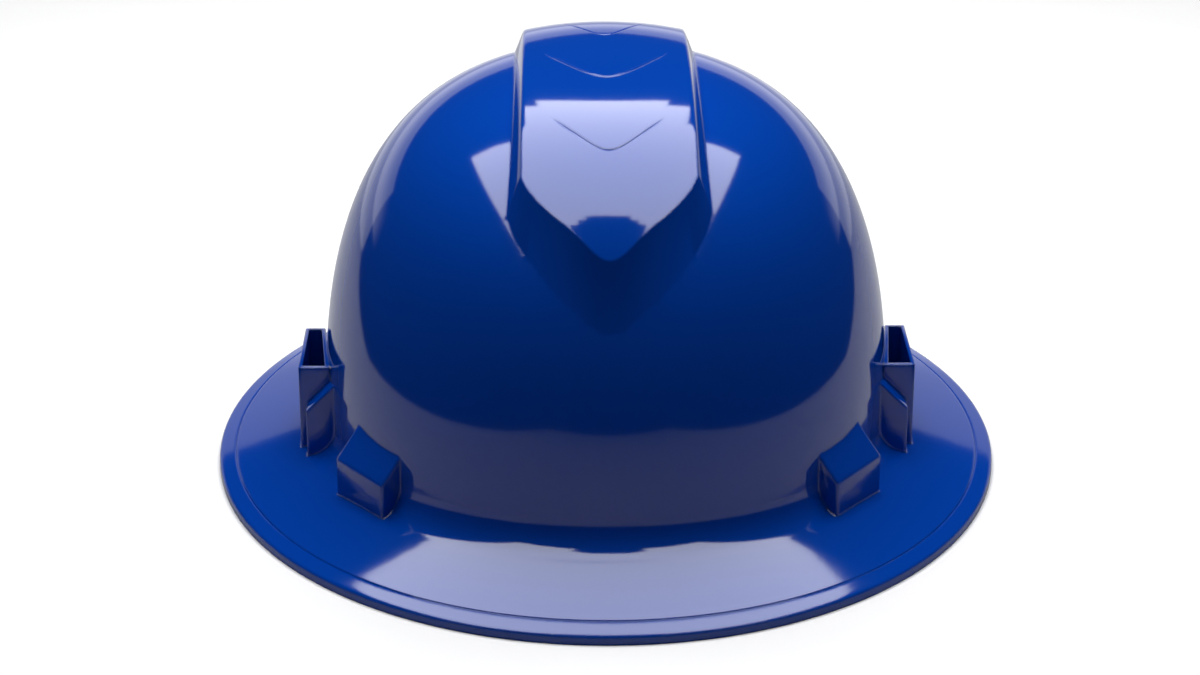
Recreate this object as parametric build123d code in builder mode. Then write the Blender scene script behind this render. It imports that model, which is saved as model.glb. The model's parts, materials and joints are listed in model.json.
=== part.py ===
from build123d import *
from math import cos, pi, radians, sin, sqrt, tan
import os

# Full brim hard hat. The front looks along -Y, the rim stands on Z = 0, lengths in mm.

# Brim and dome
brim_half_width = 145.0
brim_half_length = 163.0
rim_height = 3.2
rim_bead_width = 4.6
rim_edge_radius = 1.0
rim_line_inset = 6.0
rim_line_step = 0.35
dome_half_width = 104.4
dome_base_height = 22.0
dome_top_height = 147.2
dome_rise_power = 2.33
dome_plan_power = 3.05
brim_joint_height = 16.0
brim_joint_radius = 7.0
inner_joint_radius = 4.0
shell_wall = 2.4
length_ratio = brim_half_length / brim_half_width
overrun = 5.0

# Raised band over the crown, with a point at the front and at the rear
band_half_width = 31.6
band_rise = 6.6
band_tip_height = 113.0
band_tip_reach = 106.0
band_tip_radius = 9.0
band_tip_half_angle = 50.0
band_draft = 11.0
band_floor_height = 70.0

# Key pockets, set square to a line from the middle of the hat
pocket_bearing = 47.8
pocket_distance = 118.7
pocket_width = 24.4
pocket_face_height = 26.5
pocket_roof_depth = 9.1
pocket_roof_rise = 10.0
pocket_wall = 2.2
pocket_cavity_depth = 8.2
pocket_window_width = 14.0
pocket_window_height = 24.0

# Accessory slots and the lug ahead of each
slot_outer_half_width = 112.6
slot_front = -30.0
slot_rear = 8.0
slot_height = 44.0
slot_wall = 1.4
slot_narrowing_share = 0.1
lug_half_width = 109.7
lug_length = 8.4
lug_face_height = 30.0

# Suspension keys
key_clearance = 0.3
key_blade_thickness = 2.5
key_blade_bottom = 7.0
key_blade_top = 24.8
key_neck_top = 16.0
key_plate_depth = 16.2
key_plate_thickness = 2.5
key_plate_width = 27.0
key_plate_top = 27.0
key_post_width = 3.2
key_bar_height = 34.0
key_bar_radius = 2.0
key_arm_thickness = 2.2
key_arm_bottom = 28.6
key_arm_top = 36.4
key_arm_pad = 13.0
key_arm_front_angle = 68.0
key_arm_rear_y = 27.0

# Crown webbing
webbing_width = 19.0
webbing_thickness = 1.2
webbing_rise = 78.0
webbing_gap = 0.25
webbing_crossing_gap = 1.2
webbing_tail_angles = [16.0, 20.0, 24.0]
crown_pad_radius = 36.0
crown_pad_thickness = 5.0

# Headband and brow pad
headband_half_width = 84.0
headband_front = 102.0
headband_centre_y = -2.0
headband_end_y = 36.0
headband_thickness = 1.6
headband_brow_bottom = 8.0
headband_brow_top = 40.0
headband_side_bottom = 14.0
headband_side_top = 37.0
headband_taper_front = -74.0
headband_taper_rear = -26.0
headband_end_radius = 7.0
headband_taper_radius = 60.0
brow_pad_thickness = 4.4
brow_pad_overlap = 2.0
brow_pad_half_angle = 60.0
brow_pad_edge = 1.6
rivet_radius = 1.6
rivet_head_radius = 3.0
rivet_head_height = 0.9
temple_rivet_rows = [1.0, 9.0]
rivet_clearance = 0.1

# Nape straps, each ending in a toothed rack
nape_strap_thickness = 1.6
nape_strap_bottom = 12.0
nape_strap_top = 28.0
nape_strap_end_y = -4.0
nape_strap_bend_y = 14.0
nape_strap_bend_share = 0.34
nape_strap_travel = 28.0
nape_strap_tip = 11.5
nape_strap_tip_radius = 4.0
nape_strap_end_radius = 6.0
nape_layer_gap = 0.3
nape_rear_y = 95.0
rack_pitch = 2.6
rack_slot_clearance = 0.5
tooth_addendum = 0.85
tooth_dedendum = 1.1
tooth_tip_width = 0.4
tooth_root_width = 1.8

# Ratchet
gear_teeth = 10
gear_shaft_radius = 3.4
gear_journal_radius = 1.9
gear_hex_radius = 2.9
gear_hex_length = 2.8
gear_tip_width = 0.7
gear_root_width = 1.7
running_clearance = 0.08
housing_half_width = 31.0
housing_height = 26.0
housing_bulge_radius = 17.0
housing_wall = 2.0
housing_corner = 6.0
housing_boss_radius = 7.0
housing_boss_height = 3.0
housing_chamfer = 0.8
cover_half_width = 13.0
cover_thickness = 2.0
cover_corner = 3.0
cover_screw_spacing = 19.0
cover_screw_rows = 21.2
screw_radius = 1.1
screw_head_radius = 2.0
screw_head_height = 1.1
screw_length = 5.5
knob_radius = 17.0
knob_height = 10.0
knob_grips = 12
knob_grip_radius = 2.4
knob_cavity_radius = 14.4
knob_cavity_depth = 3.2
knob_dish_radius = 12.0
knob_dish_depth = 1.6
knob_edge_radius = 0.8
knob_screw_length = 5.0
knob_screw_recess = 1.3
knob_screw_head_radius = 2.6
detent_teeth = 24
detent_tooth_height = 0.8
detent_ring_radius = 9.2
detent_arm_width = 1.2
detent_thickness = 2.4
detent_arm_angle = 95.0
detent_pawl_angle = 16.0
nape_pad_half_width = 16.0
nape_pad_height = 24.0
nape_pad_thickness = 5.0
nape_pad_corner = 7.0
nape_pad_edge = 1.8

rack_height = (nape_strap_bottom + nape_strap_top) / 2
gear_pitch_radius = gear_teeth * rack_pitch / (2 * pi)
gear_tip_radius = gear_pitch_radius + tooth_addendum
rack_teeth = round(nape_strap_travel / rack_pitch) + 4
nape_strap_straight = cover_half_width + nape_strap_travel
inner_layer_y = nape_rear_y
outer_layer_y = inner_layer_y + nape_strap_thickness + nape_layer_gap
guide_back_y = outer_layer_y + nape_strap_thickness + nape_layer_gap
housing_front_y = nape_rear_y - nape_layer_gap
housing_back_y = guide_back_y + housing_wall
boss_top_y = housing_back_y + housing_boss_height
knob_front_y = housing_back_y + key_clearance
key_bar_depth = key_plate_depth + key_plate_thickness / 2
knob_back_y = knob_front_y + knob_height
ends = {"front": -1, "rear": 1}
sides = {"left": -1, "right": 1}

os.makedirs("parts", exist_ok=True)


def save(piece, name):
    piece.part.label = name
    export_step(piece.part, f"parts/{name}.step")


# The brim and dome are turned in a round plan. Each thing that isn't, such as a pocket,
# is shortened to that plan, and at the end the whole shell is stretched to its length.
def round_plan(piece):
    return scale(piece.part, by=(1, 1 / length_ratio, 1), mode=Mode.PRIVATE)


# Dome outline: |r / width| ^ plan power + |rise / height| ^ rise power = 1.
def dome_points(offset):
    half_width = dome_half_width + offset
    rise = dome_top_height + offset - dome_base_height
    steps = 9
    turns = [pi / 2 * step / steps for step in range(steps)]
    points = [
        (
            half_width * cos(turn) ** (2 / dome_plan_power),
            dome_base_height + rise * sin(turn) ** (2 / dome_rise_power),
        )
        for turn in turns
    ]
    return points + [(0, dome_base_height + rise)]


# A dome alone, from the table up to its outline.
def dome_solid(offset):
    points = dome_points(offset)
    with BuildPart() as dome:
        with BuildSketch(Plane.XZ):
            with BuildLine():
                Spline(*points, tangents=[(0, 1), (-1, 0)])
                Polyline(points[-1], (0, 0), (points[0][0], 0), points[0])
            make_face()
        revolve(axis=Axis.Z)
    return dome


# The outside of the shell, filled in: dome, joint, brim and rim.
def outer_form():
    slope = (brim_joint_height - rim_height) / (brim_half_width - dome_half_width)
    line_radius = brim_half_width - rim_line_inset
    line_height = rim_height + slope * rim_line_inset
    points = dome_points(0)
    brim = [
        points[0],
        (dome_half_width, brim_joint_height),
        (line_radius, line_height),
        (line_radius, line_height + rim_line_step),
        (brim_half_width, rim_height),
        (brim_half_width, -overrun),
        (0, -overrun),
    ]
    radii = [brim_joint_radius, 0, 0, rim_edge_radius, 0]
    with BuildPart() as form:
        with BuildSketch(Plane.XZ):
            with BuildLine():
                Spline(*points, tangents=[(0, 1), (-1, 0)])
                FilletPolyline(*brim, radius=radii)
                Line(points[-1], brim[-1])
            make_face()
        revolve(axis=Axis.Z)
    return form


# The space inside the shell and under the brim.
def inner_form():
    slope = (brim_joint_height - rim_height) / (brim_half_width - dome_half_width)
    drop = shell_wall * sqrt(1 + slope**2)
    inner_radius = dome_half_width - shell_wall
    bead_radius = brim_half_width - rim_bead_width
    bead_height = rim_height + slope * rim_bead_width - drop
    corner_height = brim_joint_height + slope * shell_wall - drop
    points = dome_points(-shell_wall)
    underside = [
        points[0],
        (inner_radius, corner_height),
        (bead_radius, bead_height),
        (bead_radius, -2 * overrun),
        (0, -2 * overrun),
    ]
    radii = [inner_joint_radius, 0, 0]
    with BuildPart() as form:
        with BuildSketch(Plane.XZ):
            with BuildLine():
                Spline(*points, tangents=[(0, 1), (-1, 0)])
                FilletPolyline(*underside, radius=radii)
                Line(points[-1], underside[-1])
            make_face()
        revolve(axis=Axis.Z)
    return form


# The raised band: a larger dome kept between two upright sides and two drafted points.
def crown_band(rise, inset):
    dome = dome_solid(rise)
    plan = crown_band_plan(inset)
    with BuildPart() as band:
        add(dome.part)
        add(round_plan(plan), mode=Mode.INTERSECT)
    return band


def crown_band_plan(inset):
    floor = band_floor_height
    widening = (band_tip_height - floor) * tan(radians(band_draft))
    half_angle = radians(band_tip_half_angle)
    side = 2 * band_half_width
    reach = band_tip_reach - inset / sin(half_angle) + widening / sin(half_angle)
    corner_y = reach - side / tan(half_angle)
    tip_radius = band_tip_radius + widening
    outline = [(side, 0), (side, corner_y), (0, reach), (-side, corner_y), (-side, 0)]
    with BuildPart() as plan:
        with BuildSketch(Plane.XY.offset(floor)):
            with BuildLine():
                FilletPolyline(*outline, radius=[0, tip_radius, 0])
                Line(outline[-1], outline[0])
            make_face()
            mirror(about=Plane.XZ)
        extrude(amount=dome_top_height, taper=band_draft)
        with BuildSketch(Plane.XY.offset(floor)):
            Rectangle(2 * (band_half_width - inset), 2 * brim_half_length)
        extrude(amount=dome_top_height, mode=Mode.INTERSECT)
    return plan


# A sketch plane through a pocket: its X runs outwards and its Y runs up.
def pocket_plane(side, end):
    bearing = radians(pocket_bearing)
    outwards = (side * sin(bearing), end * cos(bearing))
    origin = (pocket_distance * outwards[0], pocket_distance * outwards[1], 0)
    return Plane(origin=origin, x_dir=(*outwards, 0), z_dir=(outwards[1], -outwards[0], 0))


def pocket_outside(side, end):
    slope = pocket_roof_rise / pocket_roof_depth
    depth = pocket_roof_depth + shell_wall
    with BuildPart() as pocket:
        with BuildSketch(pocket_plane(side, end)):
            with BuildLine():
                Polyline(
                    (0, 0),
                    (0, pocket_face_height),
                    (-depth, pocket_face_height + slope * depth),
                    (-depth - overrun, pocket_face_height + slope * depth),
                    (-depth - overrun, 0),
                    close=True,
                )
            make_face()
        extrude(amount=pocket_width / 2, both=True)
    return pocket


# The room for a key's blade, and the window that its neck passes through.
def pocket_inside(side, end):
    slope = pocket_roof_rise / pocket_roof_depth
    drop = pocket_wall * (sqrt(1 + slope**2) - slope)
    roof = pocket_face_height - drop
    with BuildPart() as room:
        with BuildSketch(pocket_plane(side, end)):
            with BuildLine():
                Polyline(
                    (-pocket_wall, -overrun),
                    (-pocket_wall, roof),
                    (-pocket_cavity_depth, roof + slope * (pocket_cavity_depth - pocket_wall)),
                    (-pocket_cavity_depth, -overrun),
                    close=True,
                )
            make_face()
        extrude(amount=pocket_width / 2 - pocket_wall, both=True)
        with BuildSketch(pocket_plane(side, end)):
            with Locations((-pocket_cavity_depth, -overrun)):
                Rectangle(
                    2 * shell_wall + 2 * overrun,
                    pocket_window_height + overrun,
                    align=(Align.MAX, Align.MIN),
                )
        extrude(amount=pocket_window_width / 2, both=True)
    return room


# The open topped slot on each side, whose inner wall follows the dome.
def slot_plan(side, offset):
    slope = slot_narrowing_share
    outer = side * (slot_outer_half_width - offset)
    front = slot_front + offset
    rear = slot_rear - offset
    inner = dome_half_width + slot_wall + slope * rear
    inner_front = side * (inner - slope * (rear - front))
    return [(outer, front), (outer, rear), (side * inner, rear), (inner_front, front)]


def slot_outside(side):
    plan = slot_plan(side, 0)
    inner = side * (dome_half_width - slot_wall - 2 * shell_wall)
    with BuildPart() as slot:
        with BuildSketch(Plane.XY):
            with BuildLine():
                Polyline(plan[0], plan[1], (inner, plan[1][1]), (inner, plan[0][1]), close=True)
            make_face()
        extrude(amount=slot_height)
    return slot


def slot_inside(side):
    with BuildPart() as slot:
        with BuildSketch(Plane.XY.offset(-overrun)):
            with BuildLine():
                Polyline(*slot_plan(side, slot_wall), close=True)
            make_face()
        extrude(amount=slot_height + 2 * overrun)
    return slot


def slot_lug(side):
    root = dome_half_width - 2 * shell_wall
    run = lug_half_width - root
    with BuildPart() as lug:
        with BuildSketch(Plane.XZ.offset(-slot_front)):
            with BuildLine():
                Polyline(
                    (side * lug_half_width, 0),
                    (side * lug_half_width, lug_face_height),
                    (side * root, lug_face_height + run),
                    (side * (root - overrun), lug_face_height + run),
                    (side * (root - overrun), 0),
                    close=True,
                )
            make_face()
        extrude(amount=lug_length)
    return lug


with BuildPart() as shell:
    add(outer_form().part)
    add(crown_band(band_rise, 0).part)
    for side in sides.values():
        for end in ends.values():
            add(round_plan(pocket_outside(side, end)))
        add(round_plan(slot_outside(side)))
        add(round_plan(slot_lug(side)))
    add(inner_form().part, mode=Mode.SUBTRACT)
    add(crown_band(band_rise - shell_wall, shell_wall).part, mode=Mode.SUBTRACT)
    for side in sides.values():
        for end in ends.values():
            add(round_plan(pocket_inside(side, end)), mode=Mode.SUBTRACT)
        add(round_plan(slot_inside(side)), mode=Mode.SUBTRACT)
    scale(by=(1, length_ratio, 1))
    split(bisect_by=Plane.XY)
save(shell, "shell")


# Points, outward directions and planes on the outer face of the headband.
def headband_point(angle):
    turn = radians(angle)
    x = headband_half_width * cos(turn)
    y = headband_centre_y + headband_front * sin(turn)
    normal = Vector(cos(turn) / headband_half_width, sin(turn) / headband_front).normalized()
    return Vector(x, y), normal


def arm_anchor(side, end):
    if end > 0:
        return Vector(side * headband_half_width, key_arm_rear_y), Vector(side, 0)
    point, normal = headband_point(-90 + side * key_arm_front_angle)
    return point, normal


def anchor_plane(side, end):
    point, normal = arm_anchor(side, end)
    height = (key_arm_bottom + key_arm_top) / 2
    return Plane(origin=(point.X, point.Y, height), x_dir=(0, 0, 1), z_dir=normal)


def temple_plane(side, y):
    return Plane(origin=(side * headband_half_width, y, rack_height), z_dir=(side, 0, 0))


# A key: the blade stands in the pocket, the neck passes the window, and the plate inside
# carries the bar for the webbing and an arm to the headband.
def suspension_key(side, end):
    plane = pocket_plane(side, end)
    outwards = plane.x_dir
    along = Vector(-outwards.Y, outwards.X) * (-side * end)
    blade_front = -(pocket_wall + key_clearance)
    blade_back = blade_front - key_blade_thickness
    plate_front = -key_plate_depth
    blade_width = pocket_width - 2 * pocket_wall - 2 * key_clearance
    neck_width = pocket_window_width - 2 * key_clearance
    slot_width = key_plate_width - 2 * key_post_width
    plate_middle = plane.origin - outwards * key_bar_depth
    anchor, normal = arm_anchor(side, end)
    tangent = Vector(-normal.Y, normal.X) * (side * end)
    pad = anchor + normal * (key_clearance + key_arm_thickness / 2)
    arm = [
        plate_middle + along * (key_plate_width / 2 - key_post_width / 2),
        plate_middle + along * (key_plate_width / 2 + key_arm_thickness / 2),
        pad + tangent * key_arm_pad / 2,
        pad - tangent * key_arm_pad / 2,
    ]
    with BuildPart() as key:
        with BuildSketch(plane):
            with Locations((blade_back, key_blade_bottom)):
                Rectangle(
                    key_blade_thickness,
                    key_blade_top - key_blade_bottom,
                    align=(Align.MIN, Align.MIN),
                )
        extrude(amount=blade_width / 2, both=True)
        with BuildSketch(plane):
            with Locations((plate_front, key_blade_bottom)):
                Rectangle(
                    blade_front - plate_front,
                    key_neck_top - key_blade_bottom,
                    align=(Align.MIN, Align.MIN),
                )
        extrude(amount=neck_width / 2, both=True)
        with BuildSketch(plane):
            with Locations((plate_front, key_blade_bottom)):
                Rectangle(
                    key_plate_thickness,
                    key_bar_height + key_bar_radius - key_blade_bottom,
                    align=(Align.MAX, Align.MIN),
                )
        extrude(amount=key_plate_width / 2, both=True)
        with BuildSketch(plane):
            with Locations((plate_front + overrun, key_plate_top)):
                Rectangle(
                    key_plate_thickness + 2 * overrun,
                    key_bar_height,
                    align=(Align.MAX, Align.MIN),
                )
        extrude(amount=slot_width / 2, both=True, mode=Mode.SUBTRACT)
        with BuildSketch(plane):
            with Locations((-key_bar_depth, key_bar_height)):
                Circle(key_bar_radius)
        extrude(amount=key_plate_width / 2, both=True)
        with BuildSketch(Plane.XY.offset(key_arm_bottom)):
            with BuildLine():
                Polyline(*arm)
            trace(line_width=key_arm_thickness)
        extrude(amount=key_arm_top - key_arm_bottom)
        with BuildSketch(anchor_plane(side, end)):
            Circle(rivet_radius + rivet_clearance)
        extrude(amount=overrun, mode=Mode.SUBTRACT)
    return key


for end_name, end in ends.items():
    for side_name, side in sides.items():
        save(suspension_key(side, end), f"{end_name}_{side_name}_key")


# Crown webbing: half an ellipse from key to key, which turns under each key's bar and is
# doubled back on its outer face.
def crown_strap(bearing_side, rise):
    plane = pocket_plane(bearing_side, -1)
    middle = Plane(origin=(0, 0, 0), x_dir=plane.x_dir, z_dir=plane.z_dir)
    turn_radius = key_bar_radius + webbing_gap + webbing_thickness / 2
    bar_reach = pocket_distance - key_bar_depth
    reach = bar_reach - turn_radius
    half = webbing_thickness / 2
    tail = [(bar_reach + turn_radius, key_bar_height)]
    for angle in webbing_tail_angles:
        turn = radians(angle)
        spread = reach + webbing_thickness
        tail.append((spread * cos(turn), key_bar_height + (rise + webbing_thickness) * sin(turn)))
    with BuildPart() as strap:
        with BuildSketch(middle):
            with Locations((0, key_bar_height)):
                Ellipse(reach + half, rise + half)
                Ellipse(reach - half, rise - half, mode=Mode.SUBTRACT)
                Rectangle(
                    2 * pocket_distance,
                    2 * dome_top_height,
                    align=(Align.CENTER, Align.MAX),
                    mode=Mode.SUBTRACT,
                )
            with BuildLine():
                CenterArc((bar_reach, key_bar_height), turn_radius, 180, 180)
                Polyline(*tail)
            trace(line_width=webbing_thickness)
            mirror(about=Plane.YZ)
        extrude(amount=webbing_width / 2, both=True)
    return strap


save(crown_strap(-1, webbing_rise), "crown_strap_lower")
save(crown_strap(1, webbing_rise + webbing_thickness + webbing_crossing_gap), "crown_strap_upper")


# The crown pad is a shallow cap under the place where the straps cross.
def under_strap(radius):
    reach = pocket_distance - key_bar_depth - key_bar_radius - webbing_gap - webbing_thickness
    rise = webbing_rise - webbing_thickness / 2 - key_clearance
    return key_bar_height + rise * sqrt(1 - (radius / reach) ** 2)


with BuildPart() as crown_pad:
    radius = crown_pad_radius - crown_pad_thickness / 2
    crown = [(0, under_strap(0)), (radius, under_strap(radius))]
    lining = [(x, z - crown_pad_thickness) for x, z in crown]
    drop = under_strap(0) - under_strap(radius)
    bend_radius = (radius ** 2 + drop ** 2) / (2 * drop)
    with BuildSketch(Plane.XZ):
        with BuildLine():
            RadiusArc(crown[0], crown[1], bend_radius)
            ThreePointArc(
                crown[1],
                (crown_pad_radius, crown[1][1] - crown_pad_thickness / 2),
                lining[1],
            )
            RadiusArc(lining[0], lining[1], bend_radius)
            Line(crown[0], lining[0])
        make_face()
    revolve(axis=Axis.Z)
save(crown_pad, "crown_pad")


# The headband is a plain plan cut to its outline as seen from the side.
def headband_plan(inset, end_y):
    width = headband_half_width - inset
    front = headband_front - inset
    centre = (0, headband_centre_y)
    return [
        Line((width, end_y), (width, headband_centre_y)),
        EllipticalCenterArc(centre, width, front, start_angle=180, arc_size=180),
        Line((-width, headband_centre_y), (-width, end_y)),
    ]


with BuildPart() as headband:
    with BuildSketch(Plane.XY):
        with BuildLine():
            headband_plan(0, headband_end_y)
            headband_plan(headband_thickness, headband_end_y)
            for side in sides.values():
                outer = side * headband_half_width
                Line((outer, headband_end_y), (outer - side * headband_thickness, headband_end_y))
        make_face()
    extrude(amount=headband_brow_top)
    front = -headband_front - overrun
    outline = [
        (front, headband_brow_bottom),
        (headband_taper_front, headband_brow_bottom),
        (headband_taper_rear, headband_side_bottom),
        (headband_end_y, headband_side_bottom),
        (headband_end_y, headband_side_top),
        (headband_taper_rear, headband_side_top),
        (headband_taper_front, headband_brow_top),
        (front, headband_brow_top),
    ]
    end_radius = headband_end_radius
    taper_radius = headband_taper_radius
    with BuildSketch(Plane.YZ):
        with BuildLine():
            FilletPolyline(
                *outline,
                radius=[taper_radius, taper_radius, end_radius, end_radius, taper_radius, taper_radius],
            )
            Line(outline[-1], outline[0])
        make_face()
    extrude(amount=headband_half_width + overrun, both=True, mode=Mode.INTERSECT)
    for side in sides.values():
        for end in ends.values():
            with BuildSketch(anchor_plane(side, end)):
                Circle(rivet_radius + rivet_clearance)
            extrude(amount=overrun, both=True, mode=Mode.SUBTRACT)
        for y in temple_rivet_rows:
            with BuildSketch(temple_plane(side, y)):
                Circle(rivet_radius + rivet_clearance)
            extrude(amount=overrun, both=True, mode=Mode.SUBTRACT)
save(headband, "headband")


with BuildPart() as brow_pad:
    outer_inset = headband_thickness + key_clearance
    inner_inset = outer_inset + brow_pad_thickness
    with BuildSketch(Plane.XY.offset(headband_brow_bottom - brow_pad_overlap)):
        with BuildLine():
            arcs = [
                EllipticalCenterArc(
                    (0, headband_centre_y),
                    headband_half_width - inset,
                    headband_front - inset,
                    start_angle=270 - brow_pad_half_angle,
                    arc_size=2 * brow_pad_half_angle,
                )
                for inset in (outer_inset, inner_inset)
            ]
            Line(arcs[0] @ 0, arcs[1] @ 0)
            Line(arcs[0] @ 1, arcs[1] @ 1)
        make_face()
    extrude(amount=headband_brow_top - headband_brow_bottom + 2 * brow_pad_overlap)
    fillet(brow_pad.edges(), brow_pad_edge)
save(brow_pad, "brow_pad")


# A rivet with a flat head on each side of the pieces that it holds.
def rivet(plane, outside, inside):
    low = plane.offset(-inside - rivet_head_height)
    with BuildPart() as pin:
        with BuildSketch(low):
            Circle(rivet_radius)
        extrude(amount=inside + outside + 2 * rivet_head_height)
        with BuildSketch(low):
            Circle(rivet_head_radius)
        extrude(amount=rivet_head_height)
        with BuildSketch(plane.offset(outside)):
            Circle(rivet_head_radius)
        extrude(amount=rivet_head_height)
    return pin


with BuildPart() as hanger_rivets:
    outside = key_clearance + key_arm_thickness + rivet_clearance
    inside = headband_thickness + rivet_clearance
    for side in sides.values():
        for end in ends.values():
            add(rivet(anchor_plane(side, end), outside, inside).part)
save(hanger_rivets, "hanger_rivets")


with BuildPart() as temple_rivets:
    inside = headband_thickness + key_clearance + nape_strap_thickness + rivet_clearance
    for side in sides.values():
        for y in temple_rivet_rows:
            add(rivet(temple_plane(side, y), rivet_clearance, inside).part)
save(temple_rivets, "temple_rivets")


# The bend of a nape strap between its side, at x, and its straight rear end, at y.
def nape_bend(x, y):
    side_y = nape_strap_bend_y
    rear_x = nape_strap_straight
    return Bezier(
        (x, side_y),
        (x, side_y + nape_strap_bend_share * (y - side_y)),
        (rear_x + nape_strap_bend_share * (x - rear_x), y),
        (rear_x, y),
    )


# A nape strap runs from the temple to the rear, where it ends in a slot with a rack along
# one edge. It is drawn for the right side, and the left one is its mirror image.
def nape_strap(side, layer_y):
    outer = headband_half_width - headband_thickness - key_clearance
    inner = outer - nape_strap_thickness
    back = layer_y + nape_strap_thickness
    tip = -nape_strap_tip
    with BuildPart() as strap:
        with BuildSketch(Plane.XY.offset(nape_strap_bottom)):
            with BuildLine():
                outside = nape_bend(outer, back)
                inside = nape_bend(inner, layer_y)
                Polyline(outside @ 1, (tip, back), (tip, layer_y), inside @ 1)
                Polyline(outside @ 0, (outer, nape_strap_end_y), (inner, nape_strap_end_y), inside @ 0)
            make_face()
        extrude(amount=nape_strap_top - nape_strap_bottom)
        fillet(strap.edges().filter_by(Axis.Y).group_by(Axis.X)[0], nape_strap_tip_radius)
        fillet(strap.edges().filter_by(Axis.X).group_by(Axis.Y)[0], nape_strap_end_radius)
        for y in temple_rivet_rows:
            with BuildSketch(temple_plane(1, y)):
                Circle(rivet_radius + rivet_clearance)
            extrude(amount=-overrun, mode=Mode.SUBTRACT)
        add(rack_slot(side, layer_y), mode=Mode.SUBTRACT)
        if side < 0:
            mirror(about=Plane.YZ, mode=Mode.REPLACE)
    return strap


# The slot in the right strap has its teeth along the upper edge, and the left strap's lie
# along the lower edge, so that one gear draws both straps together.
def rack_slot(side, layer_y):
    free_edge = gear_tip_radius + rack_slot_clearance
    root = gear_pitch_radius + tooth_dedendum
    tip = gear_pitch_radius - tooth_addendum
    start = -gear_tip_radius - rack_slot_clearance
    length = nape_strap_travel - 2 * start
    low = rack_height - (free_edge if side > 0 else root)
    with BuildPart() as slot:
        with BuildSketch(Plane.XZ.offset(-layer_y - nape_strap_thickness / 2)):
            with Locations((start, low)):
                Rectangle(length, free_edge + root, align=(Align.MIN, Align.MIN))
            with Locations(*[((tooth - 1.5) * rack_pitch, rack_height) for tooth in range(rack_teeth)]):
                Polygon(
                    (-tooth_root_width / 2, side * root),
                    (-tooth_tip_width / 2, side * tip),
                    (tooth_tip_width / 2, side * tip),
                    (tooth_root_width / 2, side * root),
                    align=None,
                    mode=Mode.SUBTRACT,
                )
        extrude(amount=nape_strap_thickness, both=True)
    return slot.part


save(nape_strap(-1, inner_layer_y), "left_nape_strap")
save(nape_strap(1, outer_layer_y), "right_nape_strap")


# A plane behind the ratchet, as seen from the rear, with its middle on the gear's axis.
def rear_plane(y):
    return Plane(origin=(0, y, rack_height), x_dir=(-1, 0, 0), z_dir=(0, 1, 0))


screw_grid = GridLocations(cover_screw_spacing, cover_screw_rows, 2, 2)

with BuildPart() as ratchet_housing:
    with BuildSketch(rear_plane(housing_front_y)):
        RectangleRounded(2 * housing_half_width, housing_height, housing_corner)
        Circle(housing_bulge_radius)
    extrude(amount=housing_back_y - housing_front_y)
    chamfer(ratchet_housing.faces().sort_by(Axis.Y)[-1].edges(), housing_chamfer)
    with BuildSketch(rear_plane(housing_front_y)):
        Rectangle(
            2 * housing_half_width,
            nape_strap_top - nape_strap_bottom + 2 * nape_layer_gap,
        )
    extrude(amount=guide_back_y - housing_front_y, mode=Mode.SUBTRACT)
    with BuildSketch(rear_plane(housing_back_y)):
        Circle(housing_boss_radius)
    extrude(amount=housing_boss_height)
    with BuildSketch(rear_plane(guide_back_y)):
        Circle(gear_shaft_radius + running_clearance)
    extrude(amount=boss_top_y - guide_back_y, mode=Mode.SUBTRACT)
    with BuildSketch(rear_plane(housing_front_y)):
        with screw_grid:
            Circle(screw_radius + rivet_clearance)
    extrude(amount=screw_length - cover_thickness, mode=Mode.SUBTRACT)
save(ratchet_housing, "ratchet_housing")


with BuildPart() as ratchet_cover:
    with BuildSketch(rear_plane(housing_front_y - cover_thickness)):
        RectangleRounded(2 * cover_half_width, housing_height, cover_corner)
    extrude(amount=cover_thickness)
    with BuildSketch(rear_plane(housing_front_y - cover_thickness)):
        Circle(gear_journal_radius + running_clearance)
        with screw_grid:
            Circle(screw_radius + rivet_clearance)
    extrude(amount=cover_thickness, mode=Mode.SUBTRACT)
    with BuildSketch(rear_plane(housing_front_y - cover_thickness)):
        with screw_grid:
            Circle(screw_head_radius + rivet_clearance)
    extrude(amount=screw_head_height + rivet_clearance, mode=Mode.SUBTRACT)
save(ratchet_cover, "ratchet_cover")


with BuildPart() as cover_screws:
    head_y = housing_front_y - cover_thickness
    with BuildSketch(rear_plane(head_y)):
        with screw_grid:
            Circle(screw_head_radius)
    extrude(amount=screw_head_height)
    with BuildSketch(rear_plane(head_y)):
        with screw_grid:
            Circle(screw_radius)
    extrude(amount=screw_length - rivet_clearance)
    with BuildSketch(rear_plane(head_y)):
        with screw_grid:
            RegularPolygon(screw_head_radius / 2, 6)
    extrude(amount=screw_head_height / 2, mode=Mode.SUBTRACT)
save(cover_screws, "cover_screws")


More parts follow.
